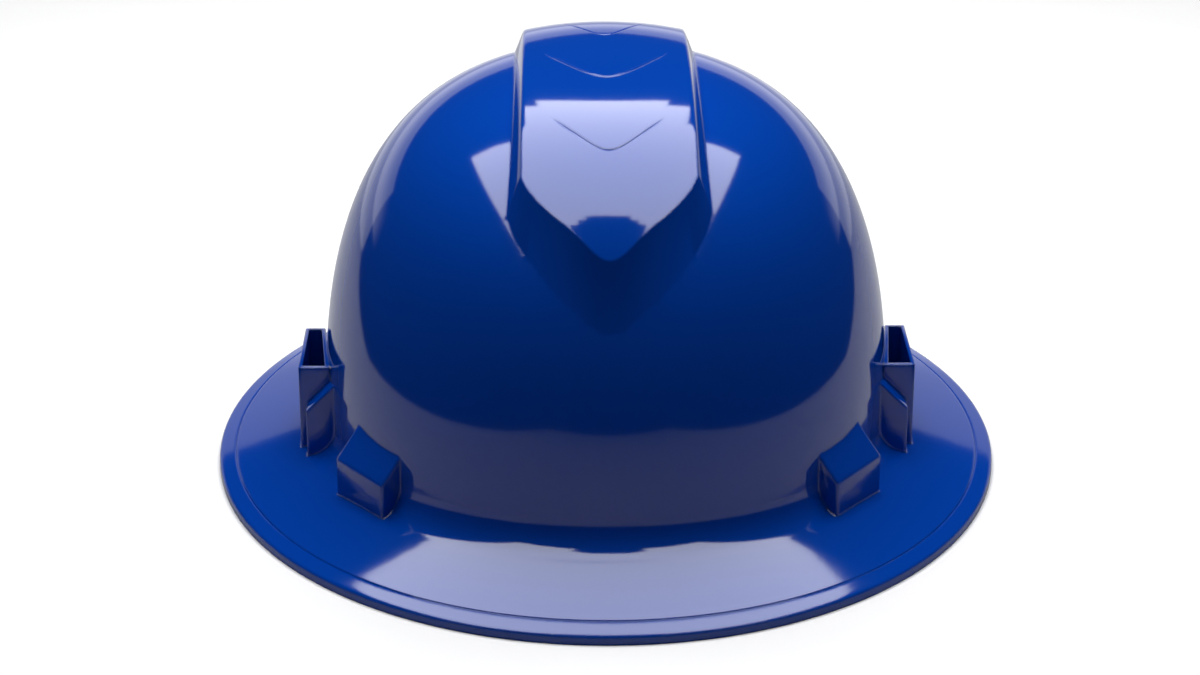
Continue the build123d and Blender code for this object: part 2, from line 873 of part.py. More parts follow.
# The gear spans both racks. A journal runs in the cover, and its shaft runs through the
# housing into a hexagonal socket in the knob.
with BuildPart() as drive_gear:
    root_radius = gear_pitch_radius - tooth_dedendum
    gear_front_y = housing_front_y + rivet_clearance
    gear_back_y = guide_back_y - rivet_clearance
    with BuildSketch(rear_plane(gear_front_y)):
        Circle(root_radius)
        with PolarLocations(0, gear_teeth, start_angle=90):
            Polygon(
                (root_radius / 2, -gear_root_width / 2),
                (root_radius, -gear_root_width / 2),
                (gear_tip_radius, -gear_tip_width / 2),
                (gear_tip_radius, gear_tip_width / 2),
                (root_radius, gear_root_width / 2),
                (root_radius / 2, gear_root_width / 2),
                align=None,
            )
    extrude(amount=gear_back_y - gear_front_y)
    with BuildSketch(rear_plane(gear_back_y)):
        Circle(gear_shaft_radius)
    extrude(amount=boss_top_y + rivet_clearance - gear_back_y)
    with BuildSketch(rear_plane(boss_top_y + rivet_clearance)):
        RegularPolygon(gear_hex_radius, 6)
    extrude(amount=gear_hex_length)
    with BuildSketch(rear_plane(housing_front_y - cover_thickness + rivet_clearance)):
        Circle(gear_journal_radius)
    extrude(amount=cover_thickness)
    with BuildSketch(rear_plane(boss_top_y + rivet_clearance + gear_hex_length)):
        Circle(screw_radius + rivet_clearance)
    extrude(amount=-knob_screw_length, mode=Mode.SUBTRACT)
save(drive_gear, "drive_gear")


with BuildPart() as adjuster_knob:
    cavity_end_y = knob_front_y + knob_cavity_depth
    socket_end_y = boss_top_y + rivet_clearance + gear_hex_length + rivet_clearance
    dish_y = knob_back_y - knob_dish_depth
    outline = [
        (0, knob_front_y),
        (knob_radius, knob_front_y),
        (knob_radius, knob_back_y),
        (knob_dish_radius, knob_back_y),
        (knob_dish_radius - knob_dish_depth, dish_y),
        (0, dish_y),
    ]
    with BuildSketch(Plane.XY.offset(rack_height)):
        with BuildLine():
            FilletPolyline(*outline, radius=[knob_edge_radius, 2 * knob_edge_radius, knob_edge_radius, 0])
            Line(outline[-1], outline[0])
        make_face()
    revolve(axis=Axis((0, 0, rack_height), (0, 1, 0)))
    with BuildSketch(rear_plane(knob_front_y)):
        with PolarLocations(knob_radius + knob_grip_radius / 2, knob_grips):
            Circle(knob_grip_radius)
    extrude(amount=knob_height, mode=Mode.SUBTRACT)
    with BuildSketch(rear_plane(knob_front_y)):
        Circle(knob_cavity_radius)
    extrude(amount=knob_cavity_depth, mode=Mode.SUBTRACT)
    with BuildSketch(rear_plane(knob_front_y)):
        with PolarLocations(0, detent_teeth):
            Polygon(
                (knob_cavity_radius + rivet_clearance, -detent_tooth_height),
                (knob_cavity_radius - detent_tooth_height, 0),
                (knob_cavity_radius + rivet_clearance, detent_tooth_height),
                align=None,
            )
    extrude(amount=knob_cavity_depth)
    with BuildSketch(rear_plane(cavity_end_y)):
        RegularPolygon(gear_hex_radius + running_clearance, 6)
    extrude(amount=socket_end_y - cavity_end_y, mode=Mode.SUBTRACT)
    with BuildSketch(rear_plane(socket_end_y)):
        Circle(screw_radius + rivet_clearance)
    extrude(amount=knob_height, mode=Mode.SUBTRACT)
    with BuildSketch(rear_plane(dish_y - knob_screw_recess)):
        Circle(knob_screw_head_radius + rivet_clearance)
    extrude(amount=knob_height, mode=Mode.SUBTRACT)
save(adjuster_knob, "adjuster_knob")


with BuildPart() as knob_screw:
    seat_y = dish_y - knob_screw_recess
    with BuildSketch(rear_plane(seat_y)):
        Circle(knob_screw_head_radius)
    extrude(amount=screw_head_height)
    with BuildSketch(rear_plane(seat_y)):
        Circle(screw_radius)
    extrude(amount=socket_end_y - seat_y - knob_screw_length + 2 * rivet_clearance)
    with BuildSketch(rear_plane(seat_y + screw_head_height)):
        RegularPolygon(screw_head_radius / 2, 6)
    extrude(amount=-screw_head_height / 2, mode=Mode.SUBTRACT)
save(knob_screw, "knob_screw")


# The detent sits on the housing's boss. Its two sprung arms end in pawls beside the ring
# of teeth in the knob.
with BuildPart() as detent_spring:
    arm_radius = (detent_ring_radius + knob_cavity_radius - detent_tooth_height) / 2
    pawl_radius = knob_cavity_radius - detent_tooth_height - rivet_clearance
    with BuildSketch(rear_plane(housing_back_y + rivet_clearance)):
        Circle(detent_ring_radius)
        Circle(housing_boss_radius + rivet_clearance, mode=Mode.SUBTRACT)
        for start in (0, 180):
            with BuildLine():
                CenterArc((0, 0), arm_radius, start, detent_arm_angle)
                root = (cos(radians(start)), sin(radians(start)))
                near = detent_ring_radius - detent_arm_width / 2
                Line((near * root[0], near * root[1]), (arm_radius * root[0], arm_radius * root[1]))
            trace(line_width=detent_arm_width)
            finish = radians(start + detent_arm_angle)
            back = radians(start + detent_arm_angle - detent_pawl_angle)
            Polygon(
                (arm_radius * cos(finish), arm_radius * sin(finish)),
                (pawl_radius * cos(finish), pawl_radius * sin(finish)),
                (arm_radius * cos(back), arm_radius * sin(back)),
                align=None,
            )
    extrude(amount=detent_thickness)
save(detent_spring, "detent_spring")


with BuildPart() as nape_pad:
    pad_back_y = housing_front_y - cover_thickness - key_clearance
    with BuildSketch(rear_plane(pad_back_y - nape_pad_thickness)):
        RectangleRounded(2 * nape_pad_half_width, nape_pad_height, nape_pad_corner)
    extrude(amount=nape_pad_thickness)
    fillet(nape_pad.faces().sort_by(Axis.Y)[0].edges(), nape_pad_edge)
save(nape_pad, "nape_pad")
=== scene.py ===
import json
import math
import bmesh
import bpy
import numpy as np
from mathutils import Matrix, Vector

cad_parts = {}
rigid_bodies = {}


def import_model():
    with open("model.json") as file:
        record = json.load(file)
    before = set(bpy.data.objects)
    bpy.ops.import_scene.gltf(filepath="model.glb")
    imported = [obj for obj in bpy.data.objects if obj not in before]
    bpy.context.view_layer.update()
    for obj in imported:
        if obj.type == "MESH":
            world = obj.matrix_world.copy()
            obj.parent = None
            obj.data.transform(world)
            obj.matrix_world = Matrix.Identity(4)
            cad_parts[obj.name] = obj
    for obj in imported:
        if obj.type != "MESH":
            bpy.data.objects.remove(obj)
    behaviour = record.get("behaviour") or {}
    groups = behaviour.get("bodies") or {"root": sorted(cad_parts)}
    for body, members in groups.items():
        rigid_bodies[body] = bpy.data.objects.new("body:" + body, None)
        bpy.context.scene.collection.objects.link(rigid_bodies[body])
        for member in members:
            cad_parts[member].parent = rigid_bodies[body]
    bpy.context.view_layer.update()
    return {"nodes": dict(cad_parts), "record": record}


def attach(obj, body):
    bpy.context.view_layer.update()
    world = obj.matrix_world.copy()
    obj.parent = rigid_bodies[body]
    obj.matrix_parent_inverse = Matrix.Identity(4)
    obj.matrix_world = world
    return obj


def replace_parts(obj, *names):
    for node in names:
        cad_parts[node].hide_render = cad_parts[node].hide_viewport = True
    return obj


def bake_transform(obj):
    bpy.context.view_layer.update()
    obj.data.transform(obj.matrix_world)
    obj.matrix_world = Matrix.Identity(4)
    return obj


for leftover in list(bpy.data.objects):
    bpy.data.objects.remove(leftover)
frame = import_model()
nodes = frame["nodes"]
print("stage: frame loaded,", len(nodes), "nodes")

mm = 0.001


# A mesh object from a (n, 3) array in metres and a list of index arrays.
def makePiece(name, points, faces, smoothAngle=32.0):
    mesh = bpy.data.meshes.new(name)
    mesh.from_pydata(np.asarray(points, float).tolist(), [], [list(map(int, f)) for f in faces])
    mesh.validate()
    mesh.update()
    piece = bpy.data.objects.new(name, mesh)
    bpy.context.scene.collection.objects.link(piece)
    shadeByAngle(piece, smoothAngle)
    return piece


def shadeByAngle(piece, degrees):
    mesh = piece.data
    mesh.polygons.foreach_set("use_smooth", np.ones(len(mesh.polygons), bool))
    mesh.set_sharp_from_angle(angle=math.radians(degrees))


# Quads of a rows by columns grid, closed round either way where asked.
def gridFaces(rows, columns, wrapRows=False, wrapColumns=False):
    r = np.arange(rows if wrapRows else rows - 1)
    c = np.arange(columns if wrapColumns else columns - 1)
    r, c = np.meshgrid(r, c, indexing="ij")
    r2, c2 = (r + 1) % rows, (c + 1) % columns
    quads = np.stack([r * columns + c, r * columns + c2, r2 * columns + c2, r2 * columns + c], -1)
    return quads.reshape(-1, 4)


# A polyline whose corners are arcs: each arc touches both runs at radius / tan(half the corner).
def filletedLine(points, radii, steps=8):
    out = [np.array(points[0], float)]
    for before, corner, after, radius in zip(points, points[1:], points[2:], radii):
        b, c, a = (np.array(p, float) for p in (before, corner, after))
        if radius == 0:
            out.append(c)
            continue
        toB, toA = (b - c) / np.linalg.norm(b - c), (a - c) / np.linalg.norm(a - c)
        half = math.acos(np.clip(toB @ toA, -1, 1)) / 2
        middle = (toB + toA) / np.linalg.norm(toB + toA)
        centre = c + middle * radius / math.sin(half)
        start = c + toB * radius / math.tan(half) - centre
        finish = c + toA * radius / math.tan(half) - centre
        share = np.linspace(0, 1, steps + 1)[:, None]
        sweep = math.pi - 2 * half
        arc = (np.sin((1 - share) * sweep) * start + np.sin(share * sweep) * finish) / math.sin(sweep)
        out.extend(centre + arc)
    out.append(np.array(points[-1], float))
    return np.array(out)


# How far each point of a line lies along it.
def distances(line):
    return np.r_[0, np.cumsum(np.linalg.norm(np.diff(line, axis=0), axis=1))]


# The same line with its points at even distances.
def evenly(points, count):
    run = distances(points)
    at = np.linspace(0, run[-1], count)
    return np.stack([np.interp(at, run, points[:, i]) for i in range(points.shape[1])], -1)


# A closed body of ovals from a (radius, height) profile that starts and ends on the axis:
# x = r cos a, y = length(r) sin a, z = h + lift(r, h, a).
def turned(name, profile, count):
    inner = profile[1:-1]
    angle = np.arange(count) / count * 2 * math.pi
    r, a = np.meshgrid(inner[:, 0], angle, indexing="ij")
    h = np.repeat(inner[:, 1][:, None], count, 1)
    ring = np.stack([r * np.cos(a), ringLength(r) * np.sin(a), h + jointLift(r, h, a)], -1)
    rows = len(inner)
    points = np.vstack([ring.reshape(-1, 3), [0, 0, profile[0, 1]], [0, 0, profile[-1, 1]]]) * mm
    faces = [list(q) for q in gridFaces(rows, count, wrapColumns=True)]
    top, bottom = rows * count, rows * count + 1
    step = np.arange(count)
    after = (step + 1) % count
    faces += [list(t) for t in np.stack([np.full(count, top), after, step], -1)]
    last = (rows - 1) * count
    faces += [list(t) for t in np.stack([np.full(count, bottom), last + step, last + after], -1)]
    piece = makePiece(name, points, faces)
    turnOutwards(piece)
    return piece


# A flat outline of (a, b) points carried from low to high along the plane's third direction.
def prism(name, outline, plane, low, high):
    origin, first, second, third = (np.array(v, float) for v in plane)
    flat = np.array(outline, float)
    ring = origin + flat[:, :1] * first + flat[:, 1:] * second
    return ruled(name, ring + low * third, ring + high * third)


# A closed body between two rings of as many points.
def ruled(name, first, second):
    count = len(first)
    faces = [list(q) for q in gridFaces(2, count, wrapColumns=True)]
    faces += [list(range(count))[::-1], list(range(count, 2 * count))]
    piece = makePiece(name, np.vstack([first, second]) * mm, faces)
    turnOutwards(piece)
    return piece


# A closed body over a row of rings, capped at both ends unless the last ring meets the first.
def tube(name, rings, closed=False):
    rows, columns = rings.shape[:2]
    faces = [list(q) for q in gridFaces(rows, columns, wrapRows=closed, wrapColumns=True)]
    if not closed:
        faces += [list(range(columns)), list(range((rows - 1) * columns, rows * columns))[::-1]]
    piece = makePiece(name, rings.reshape(-1, 3) * mm, faces)
    turnOutwards(piece)
    return piece


def turnOutwards(piece):
    mesh = bmesh.new()
    mesh.from_mesh(piece.data)
    bmesh.ops.recalc_face_normals(mesh, faces=mesh.faces)
    mesh.to_mesh(piece.data)
    mesh.free()


def applyModifiers(piece):
    graph = bpy.context.evaluated_depsgraph_get()
    mesh = bpy.data.meshes.new_from_object(piece.evaluated_get(graph))
    old = piece.data
    piece.modifiers.clear()
    piece.data = mesh
    mesh.name = piece.name
    bpy.data.meshes.remove(old)


# piece joined with, cut by or kept inside each of the others, which are used up.
def combine(piece, others, operation):
    for other in others:
        step = piece.modifiers.new(operation.lower(), "BOOLEAN")
        step.operation, step.solver, step.object = operation, "MANIFOLD", other
        applyModifiers(piece)
        mesh = other.data
        bpy.data.objects.remove(other)
        bpy.data.meshes.remove(mesh)
    return piece


def softEdges(piece, width, segments=3, degrees=30.0):
    bevel = piece.modifiers.new("edges", "BEVEL")
    bevel.width, bevel.segments = width * mm, segments
    bevel.limit_method, bevel.angle_limit = "ANGLE", math.radians(degrees)
    applyModifiers(piece)
    return piece


# All lengths in millimetres. The photo's reflections ask for more than the solid has: a longer dome,
# a rounder joint with the brim that lies higher in front and at the rear, and pockets that face
# further round. What the keys and the headband need keeps the solid's sizes.
shell = {
    "halfWidth": 145.0,
    "halfLength": 163.0,
    "rimHeight": 3.2,
    "beadWidth": 4.6,
    "edgeRadius": 1.0,
    "domeHalfWidth": 104.4,
    "domeHalfLength": 126.0,
    "domeBase": 22.0,
    "domeTop": 145.8,
    "risePower": 2.33,
    "planPower": 3.05,
    "jointHeight": 15.0,
    "frontJointRise": 5.3,  # the dome meets the brim this much higher at the front and the rear
    "riseFade": 70.0,
    "jointRadius": 10.4,
    "innerJointRadius": 4.0,
    "footRun": 4.0,  # the upright run over the base that the joint's arc touches
    "wall": 2.4,
    "below": 5.0,  # how far the cutters reach under the rim
    "turnSteps": 300,
    "domeSteps": 90,
    "innerDomeSteps": 60,
    "brimSteps": 20,
    "jointSteps": 10,
    "innerJointSteps": 6,
    "sharpAngle": 24,
}
band = {
    "topHalfWidth": 30.7,
    "baseHalfWidth": 33.3,
    "rise": 6.6,
    "shoulder": 1.2,
    # the pointed ends in plan, from the tip outwards: the wall's top edge and its foot on the dome
    "topEdge": [
        (0, 109.7), (2.4, 109.2), (5.2, 107.8), (13, 101.4), (19, 96.4), (24.3, 91.0),
        (28.4, 85.2), (30.6, 79), (33, 70), (40, 50), (64, 26),
    ],
    "foot": [
        (0, 114.5), (3.8, 113.9), (8.0, 112.0), (16.9, 107.2), (22.8, 101.9), (28.3, 96.0),
        (32.3, 90.0), (34.4, 84), (37, 75), (44, 55), (68, 31),
    ],
    "leastDrop": 8.0,  # from the top edge to the foot, so that the wall never turns flat
    "planHeights": (58.0, 155.5),  # the pointed ends' floor and ceiling
    "planSteps": 241,
    "planPasses": 9,
    "turnReach": 0.94,  # together the part of a quarter turn that the block spans to each end
    "turnShare": 0.84,
    "wallDrops": (4.0, 12.0),
    "floor": 60,
    "acrossSteps": 91,
    "alongSteps": 200,
    "innerAlongSteps": 90,
}
pocket = {
    "bearing": 47.8,
    "distance": 118.7,
    "width": 24.4,
    "faceHeight": 26.5,
    "roofDepth": 9.1,
    "roofRise": 10.0,
    "wall": 2.2,
    "cavityDepth": 8.2,
    "windowWidth": 14.0,
    "windowHeight": 24.0,
    "windowReach": 10,
    "edge": 1.1,
    # the outer face stands further round than the room behind it
    "faceBearing": 53.2,
    "faceDistance": 120.4,
    "faceSides": (-0.9, 28.3),
    "root": 5,  # how far a block goes on into the dome
    "overlap": 0.5,
}
sideSlot = {
    "outerHalfWidth": 112.6,
    "front": -30.0,
    "rear": 8.0,
    "height": 44.0,
    "wall": 1.4,
    "narrowing": 0.1,
    "innerSide": (105.1, 101.1),  # at the rear and at the front
    "lugHalfWidth": 109.7,
    "lugLength": 8.4,
    "lugFace": 30.0,
    "lugRoot": 5,
    "lugOverlap": 1,
    "edge": 0.5,
    "edgeSegments": 2,
}
groove = {
    # tip y, half width, how far the ends lie behind the tip
    "creases": [(-74.4, 19.5, 19.5), (-23.0, 22.5, 28.5), (28.7, 15.3, 25.7)],
    "creaseBend": 0.35,
    "creaseWidth": 0.9,
    "creaseDepth": 0.25,
    "creaseFade": 5,
    "creaseSteps": 61,
    "rimInset": 6.0,
    "rimWidth": 0.8,
    "rimDepth": 0.25,
    "lipHeight": 0.05,  # where the cutter is as wide as the groove
    "cutterHeight": 3.0,
}
stretch = shell["domeHalfLength"] / shell["domeHalfWidth"]


# Half the length of the oval whose half width is r: the dome's ovals are longer than the brim's.
def ringLength(r):
    s = shell
    out = (r - s["domeHalfWidth"]) / (s["halfWidth"] - s["domeHalfWidth"])
    brimLength = s["domeHalfLength"] + out * (s["halfLength"] - s["domeHalfLength"])
    return np.where(out < 0, r * stretch, brimLength)


# How far the brim and the foot of the dome are raised: rise out(r) up(h)^2 sin(a)^4, so most at the
# front and the rear, and not at all at the sides, along the rim's edge or under the table's plane.
def jointLift(r, h, angle):
    s = shell
    out = np.clip((s["halfWidth"] - r) / (s["halfWidth"] - s["domeHalfWidth"]), 0, 1)
    up = np.clip(1 - (h - s["domeBase"]) / s["riseFade"], 0, 1)
    return s["frontJointRise"] * out * up**2 * (h > 0) * np.sin(angle) ** 4


# Half of the dome's outline from the base up: r = a cos(t)^(2/q), z = base + H sin(t)^(2/p).
def domeLine(offset, steps=600):
    t = np.linspace(0, math.pi / 2, steps)
    a = shell["domeHalfWidth"] + offset
    rise = shell["domeTop"] + offset - shell["domeBase"]
    r = a * np.abs(np.cos(t)) ** (2 / shell["planPower"])
    z = shell["domeBase"] + rise * np.sin(t) ** (2 / shell["risePower"])
    r[-1] = 0
    return np.stack([r, z], -1)


# z on the dome over a plan point: base + H (1 - (r/a)^q)^(1/p).
def domeHeight(x, y, offset):
    a = shell["domeHalfWidth"] + offset
    rise = shell["domeTop"] + offset - shell["domeBase"]
    share = np.clip(np.hypot(x, y / stretch) / a, 0, 1)
    return shell["domeBase"] + rise * (1 - share ** shell["planPower"]) ** (1 / shell["risePower"])


# The outside from the crown down: the dome, the arc at the joint, the brim's run and its edge.
def makeOuterForm():
    s = shell
    dome = evenly(domeLine(0), s["domeSteps"])[::-1]
    arcEnd = s["jointSteps"]
    corners = [
        (s["domeHalfWidth"], s["domeBase"] + s["footRun"]),
        (s["domeHalfWidth"], s["jointHeight"]),
        (s["halfWidth"], s["rimHeight"]),
        (s["halfWidth"], 0),
        (0, 0),
    ]
    brim = filletedLine(corners, [s["jointRadius"], s["edgeRadius"], 0], arcEnd)[1:]
    along = np.linspace(0, 1, s["brimSteps"] + 2)[1:-1, None]
    run = brim[arcEnd] + along * (brim[arcEnd + 1] - brim[arcEnd])
    profile = np.vstack([dome, brim[: arcEnd + 1], run, brim[arcEnd + 1:]])
    return turned("shellSkin", profile, s["turnSteps"])


def brimSlope():
    s = shell
    return (s["jointHeight"] - s["rimHeight"]) / (s["halfWidth"] - s["domeHalfWidth"])


# The inside: the same dome and brim, smaller by the wall, with an upright bead left at the rim.
def makeInnerForm():
    s = shell
    slope = brimSlope()
    drop = s["wall"] * math.sqrt(1 + slope**2)
    inner = s["domeHalfWidth"] - s["wall"]
    bead = s["halfWidth"] - s["beadWidth"]
    beadHeight = s["rimHeight"] + slope * s["beadWidth"] - drop
    corner = s["jointHeight"] + slope * s["wall"] - drop
    dome = evenly(domeLine(-s["wall"]), s["innerDomeSteps"])[::-1]
    corners = [
        (inner, s["domeBase"] + s["footRun"]),
        (inner, corner),
        (bead, beadHeight),
        (bead, -s["below"]),
        (0, -s["below"]),
    ]
    under = filletedLine(corners, [s["innerJointRadius"], 0, 0], s["innerJointSteps"])[1:]
    profile = np.vstack([dome, under])
    return turned("innerForm", profile, s["turnSteps"] // 2)


# The band as a grid: x goes across from wall to wall, y = L(x) sin(turn) along from end to end, and
# the top lies on a larger dome with rounded shoulders. The walls flare down to a flat floor.
def makeBandBlock(name, offset, inset, steps):
    b = band
    top, shoulder = b["topHalfWidth"] - inset, b["shoulder"]
    flare = (b["baseHalfWidth"] - b["topHalfWidth"]) / b["rise"]
    across = np.linspace(-top, top, b["acrossSteps"])
    turn = np.linspace(-b["turnReach"], b["turnReach"], steps)
    x, s = np.meshgrid(across, turn, indexing="xy")
    reach = stretch * np.sqrt((shell["domeHalfWidth"] + offset) ** 2 - x**2)
    y = reach * np.sin(s * (math.pi / 2) * b["turnShare"])
    z = domeHeight(x, y, offset)
    into = np.clip(np.abs(x) - (top - shoulder), 0, shoulder)
    z = z - (shoulder - np.sqrt(np.clip(shoulder**2 - into**2, 0, None)))
    parts = []
    for side in (0, -1):
        edge = np.stack([x[:, side], y[:, side], z[:, side]], -1)
        outwards = -1 if side == 0 else 1
        walls = [edge + np.array([outwards * drop * flare, 0, -drop]) for drop in b["wallDrops"]]
        foot = walls[-1].copy()
        foot[:, 2] = b["floor"]
        parts.append([*walls, foot])
    left = [p[:, None] for p in parts[0]][::-1]
    right = [p[:, None] for p in parts[1]]
    return tube(name, np.concatenate([*left, np.stack([x, y, z], -1), *right], 1))


# A line of a few points made smooth: even points, each averaged with its neighbours.
def smoothLine(points, count, passes):
    line = evenly(np.array(points, float), count)
    for _ in range(passes):
        line[1:-1] = (line[:-2] + 2 * line[1:-1] + line[2:]) / 4
    return line


# The pointed ends: the walls are straight lines from the top edge to the foot, and go on past both.
def makeBandPlan(name, inset):
    b = band
    edges = []
    for key, offset in (("topEdge", b["rise"]), ("foot", 0.0)):
        right = np.array(b[key], float) * [1, -1]
        both = np.vstack([(right[1:] * [-1, 1])[::-1], right])
        line = smoothLine(both, b["planSteps"], b["planPasses"])
        tangent = np.gradient(line, axis=0)
        tangent /= np.linalg.norm(tangent, axis=1)[:, None]
        inwards = np.stack([-tangent[:, 1], tangent[:, 0]], -1)
        height = domeHeight(line[:, 0], line[:, 1], offset)
        edges.append(np.column_stack([line + inset * inwards, height]))
    top, foot = edges
    rings = []
    for level in b["planHeights"]:
        share = (level - foot[:, 2:]) / np.maximum(top[:, 2:] - foot[:, 2:], b["leastDrop"])
        front = foot[:, :2] + share * (top[:, :2] - foot[:, :2])
        ring = np.vstack([front, -front])
        rings.append(np.column_stack([ring, np.full(len(ring), level)]))
    return ruled(name, *rings)


# A pocket's upright plane: its origin, the ways out and up, and the way along it.
def pocketPlane(side, end, bearing, distance):
    turn = math.radians(bearing)
    out = np.array([side * math.sin(turn), end * math.cos(turn), 0.0])
    return out * distance, out, np.array([0, 0, 1.0]), np.array([out[1], -out[0], 0])


def makePocketOutside(side, end):
    p = pocket
    slope = p["roofRise"] / p["roofDepth"]
    deep = p["roofDepth"] + shell["wall"]
    top = p["faceHeight"] + slope * deep
    rooted = -deep - p["root"]
    outline = [(0, 0), (0, p["faceHeight"]), (-deep, top), (rooted, top), (rooted, 0)]
    low, high = sorted(-side * end * reach for reach in p["faceSides"])
    plane = pocketPlane(side, end, p["faceBearing"], p["faceDistance"])
    return softEdges(prism("pocketOutside", outline, plane, low, high), p["edge"])


def makePocketInside(side, end):
    p = pocket
    slope = p["roofRise"] / p["roofDepth"]
    roof = p["faceHeight"] - p["wall"] * (math.sqrt(1 + slope**2) - slope)
    back = roof + slope * (p["cavityDepth"] - p["wall"])
    half, halfWindow = p["width"] / 2 - p["wall"], p["windowWidth"] / 2
    plane = pocketPlane(side, end, p["bearing"], p["distance"])
    low, deep, sill = -shell["below"], -p["cavityDepth"], p["windowHeight"]
    room = [(-p["wall"], low), (-p["wall"], roof), (deep, back), (deep, low)]
    start, finish = deep + p["overlap"], deep - 2 * shell["wall"] - p["windowReach"]
    window = [(start, low), (start, sill), (finish, sill), (finish, low)]
    return [
        prism("room", room, plane, -half, half),
        prism("window", window, plane, -halfWindow, halfWindow),
    ]


# Planes for prisms: an origin, the outline's two directions and the one that it is carried along.
flatPlane = ((0, 0, 0), (1, 0, 0), (0, 1, 0), (0, 0, 1))
rearPlane = ((0, 0, 0), (1, 0, 0), (0, 0, 1), (0, 1, 0))
sidePlane = ((0, 0, 0), (0, 1, 0), (0, 0, 1), (1, 0, 0))


# The slot in plan, set in by offset. Its inner side follows the dome's wall.
def slotPlan(side, offset):
    s = sideSlot
    outer = side * (s["outerHalfWidth"] - offset)
    front, rear = s["front"] + offset, s["rear"] - offset
    inner = shell["domeHalfWidth"] + s["wall"] + s["narrowing"] * rear
    innerFront = side * (inner - s["narrowing"] * (rear - front))
    return [(outer, front), (outer, rear), (side * inner, rear), (innerFront, front)]


def makeSideSlot(side):
    s = sideSlot
    outerFront, outerRear = slotPlan(side, 0)[:2]
    innerRear, innerFront = (side * reach for reach in s["innerSide"])
    outline = [outerFront, outerRear, (innerRear, outerRear[1]), (innerFront, outerFront[1])]
    box = prism("slotOutside", outline, flatPlane, 0, s["height"])
    face, root = s["lugHalfWidth"], shell["domeHalfWidth"] - 2 * shell["wall"]
    top, buried = s["lugFace"] + (face - root), root - s["lugRoot"]
    outline = [(face, 0), (face, s["lugFace"]), (root, top), (buried, top), (buried, 0)]
    outline = [(side * reach, level) for reach, level in outline]
    start, finish = s["front"] - s["lugLength"], s["front"] + s["lugOverlap"]
    lug = prism("lug", outline, rearPlane, start, finish)
    return [softEdges(piece, s["edge"], s["edgeSegments"]) for piece in (box, lug)]


# A groove cutter along a line of (x, y) points at the surface's heights: its section is a V whose
# point lies depth under the surface, and its sides rise well above it.
def makeGroove(name, line, heights, width, depths, closed=False):
    if closed:
        tangent = np.roll(line, -1, 0) - np.roll(line, 1, 0)
    else:
        tangent = np.gradient(line, axis=0)
    tangent /= np.linalg.norm(tangent, axis=1)[:, None]
    normal = np.stack([-tangent[:, 1], tangent[:, 0]], -1)
    lip, top = groove["lipHeight"], groove["cutterHeight"]
    section = [(-0.5, lip, 0), (0, 0, 1), (0.5, lip, 0), (0.5, top, 0), (-0.5, top, 0)]
    rings = []
    for across, above, cut in section:
        place = line + across * width * normal
        rings.append(np.column_stack([place, heights + above - cut * depths]))
    return tube(name, np.stack(rings, 1), closed)


# A crease is a branch of a hyperbola, y = tip + (sqrt((x/half)^2 + bend^2) - bend) back, with back
# scaled to its reach, and runs out towards its ends.
def makeCrease(tip, half, back):
    g = groove
    x = np.linspace(-half, half, g["creaseSteps"])
    bend = g["creaseBend"]
    y = tip + (np.sqrt((x / half) ** 2 + bend**2) - bend) * back / (math.sqrt(1 + bend**2) - bend)
    depths = g["creaseDepth"] * np.clip((1 - np.abs(x) / half) * g["creaseFade"], 0, 1)
    heights = domeHeight(x, y, band["rise"])
    return makeGroove("crease", np.stack([x, y], -1), heights, g["creaseWidth"], depths)


# The line on the brim near the rim: its oval of half width r, and there the height of the straight
# run from the joint to the rim, plus the lift.
def makeRimLine():
    s = shell
    r = s["halfWidth"] - groove["rimInset"]
    angle = np.arange(s["turnSteps"]) / s["turnSteps"] * 2 * math.pi
    line = np.stack([r * np.cos(angle), ringLength(r) * np.sin(angle)], -1)
    level = s["rimHeight"] + brimSlope() * groove["rimInset"]
    heights = level + jointLift(r, level, angle)
    return makeGroove("rimLine", line, heights, groove["rimWidth"], groove["rimDepth"], True)


def makeBand(name, offset, inset, steps):
    plan = makeBandPlan(name + "Plan", inset)
    return combine(makeBandBlock(name, offset, inset, steps), [plan], "INTERSECT")


def makeShell():
    outer = makeOuterForm()
    wall, below = shell["wall"], shell["below"]
    added = [makeBand("band", band["rise"], 0, band["alongSteps"])]
    removed = [makeInnerForm()]
    removed.append(makeBand("bandInside", band["rise"] - wall, wall, band["innerAlongSteps"]))
    for side in (-1, 1):
        for end in (-1, 1):
            added.append(makePocketOutside(side, end))
            removed.extend(makePocketInside(side, end))
        added.extend(makeSideSlot(side))
        room = slotPlan(side, sideSlot["wall"])
        removed.append(prism("slotInside", room, flatPlane, -below, sideSlot["height"] + below))
    combine(outer, added, "UNION")
    removed.extend(makeCrease(*crease) for crease in groove["creases"])
    removed.append(makeRimLine())
    combine(outer, removed, "DIFFERENCE")
    shadeByAngle(outer, shell["sharpAngle"])
    return outer


shellSkin = makeShell()
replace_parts(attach(shellSkin, "hat"), "shell")
print("stage: shell,", len(shellSkin.data.polygons), "faces")


def addPointValues(piece, values):
    for name, numbers in values.items():
        attribute = piece.data.attributes.new(name, "FLOAT", "POINT")
        attribute.data.foreach_set("value", np.ascontiguousarray(numbers, np.float32).ravel())


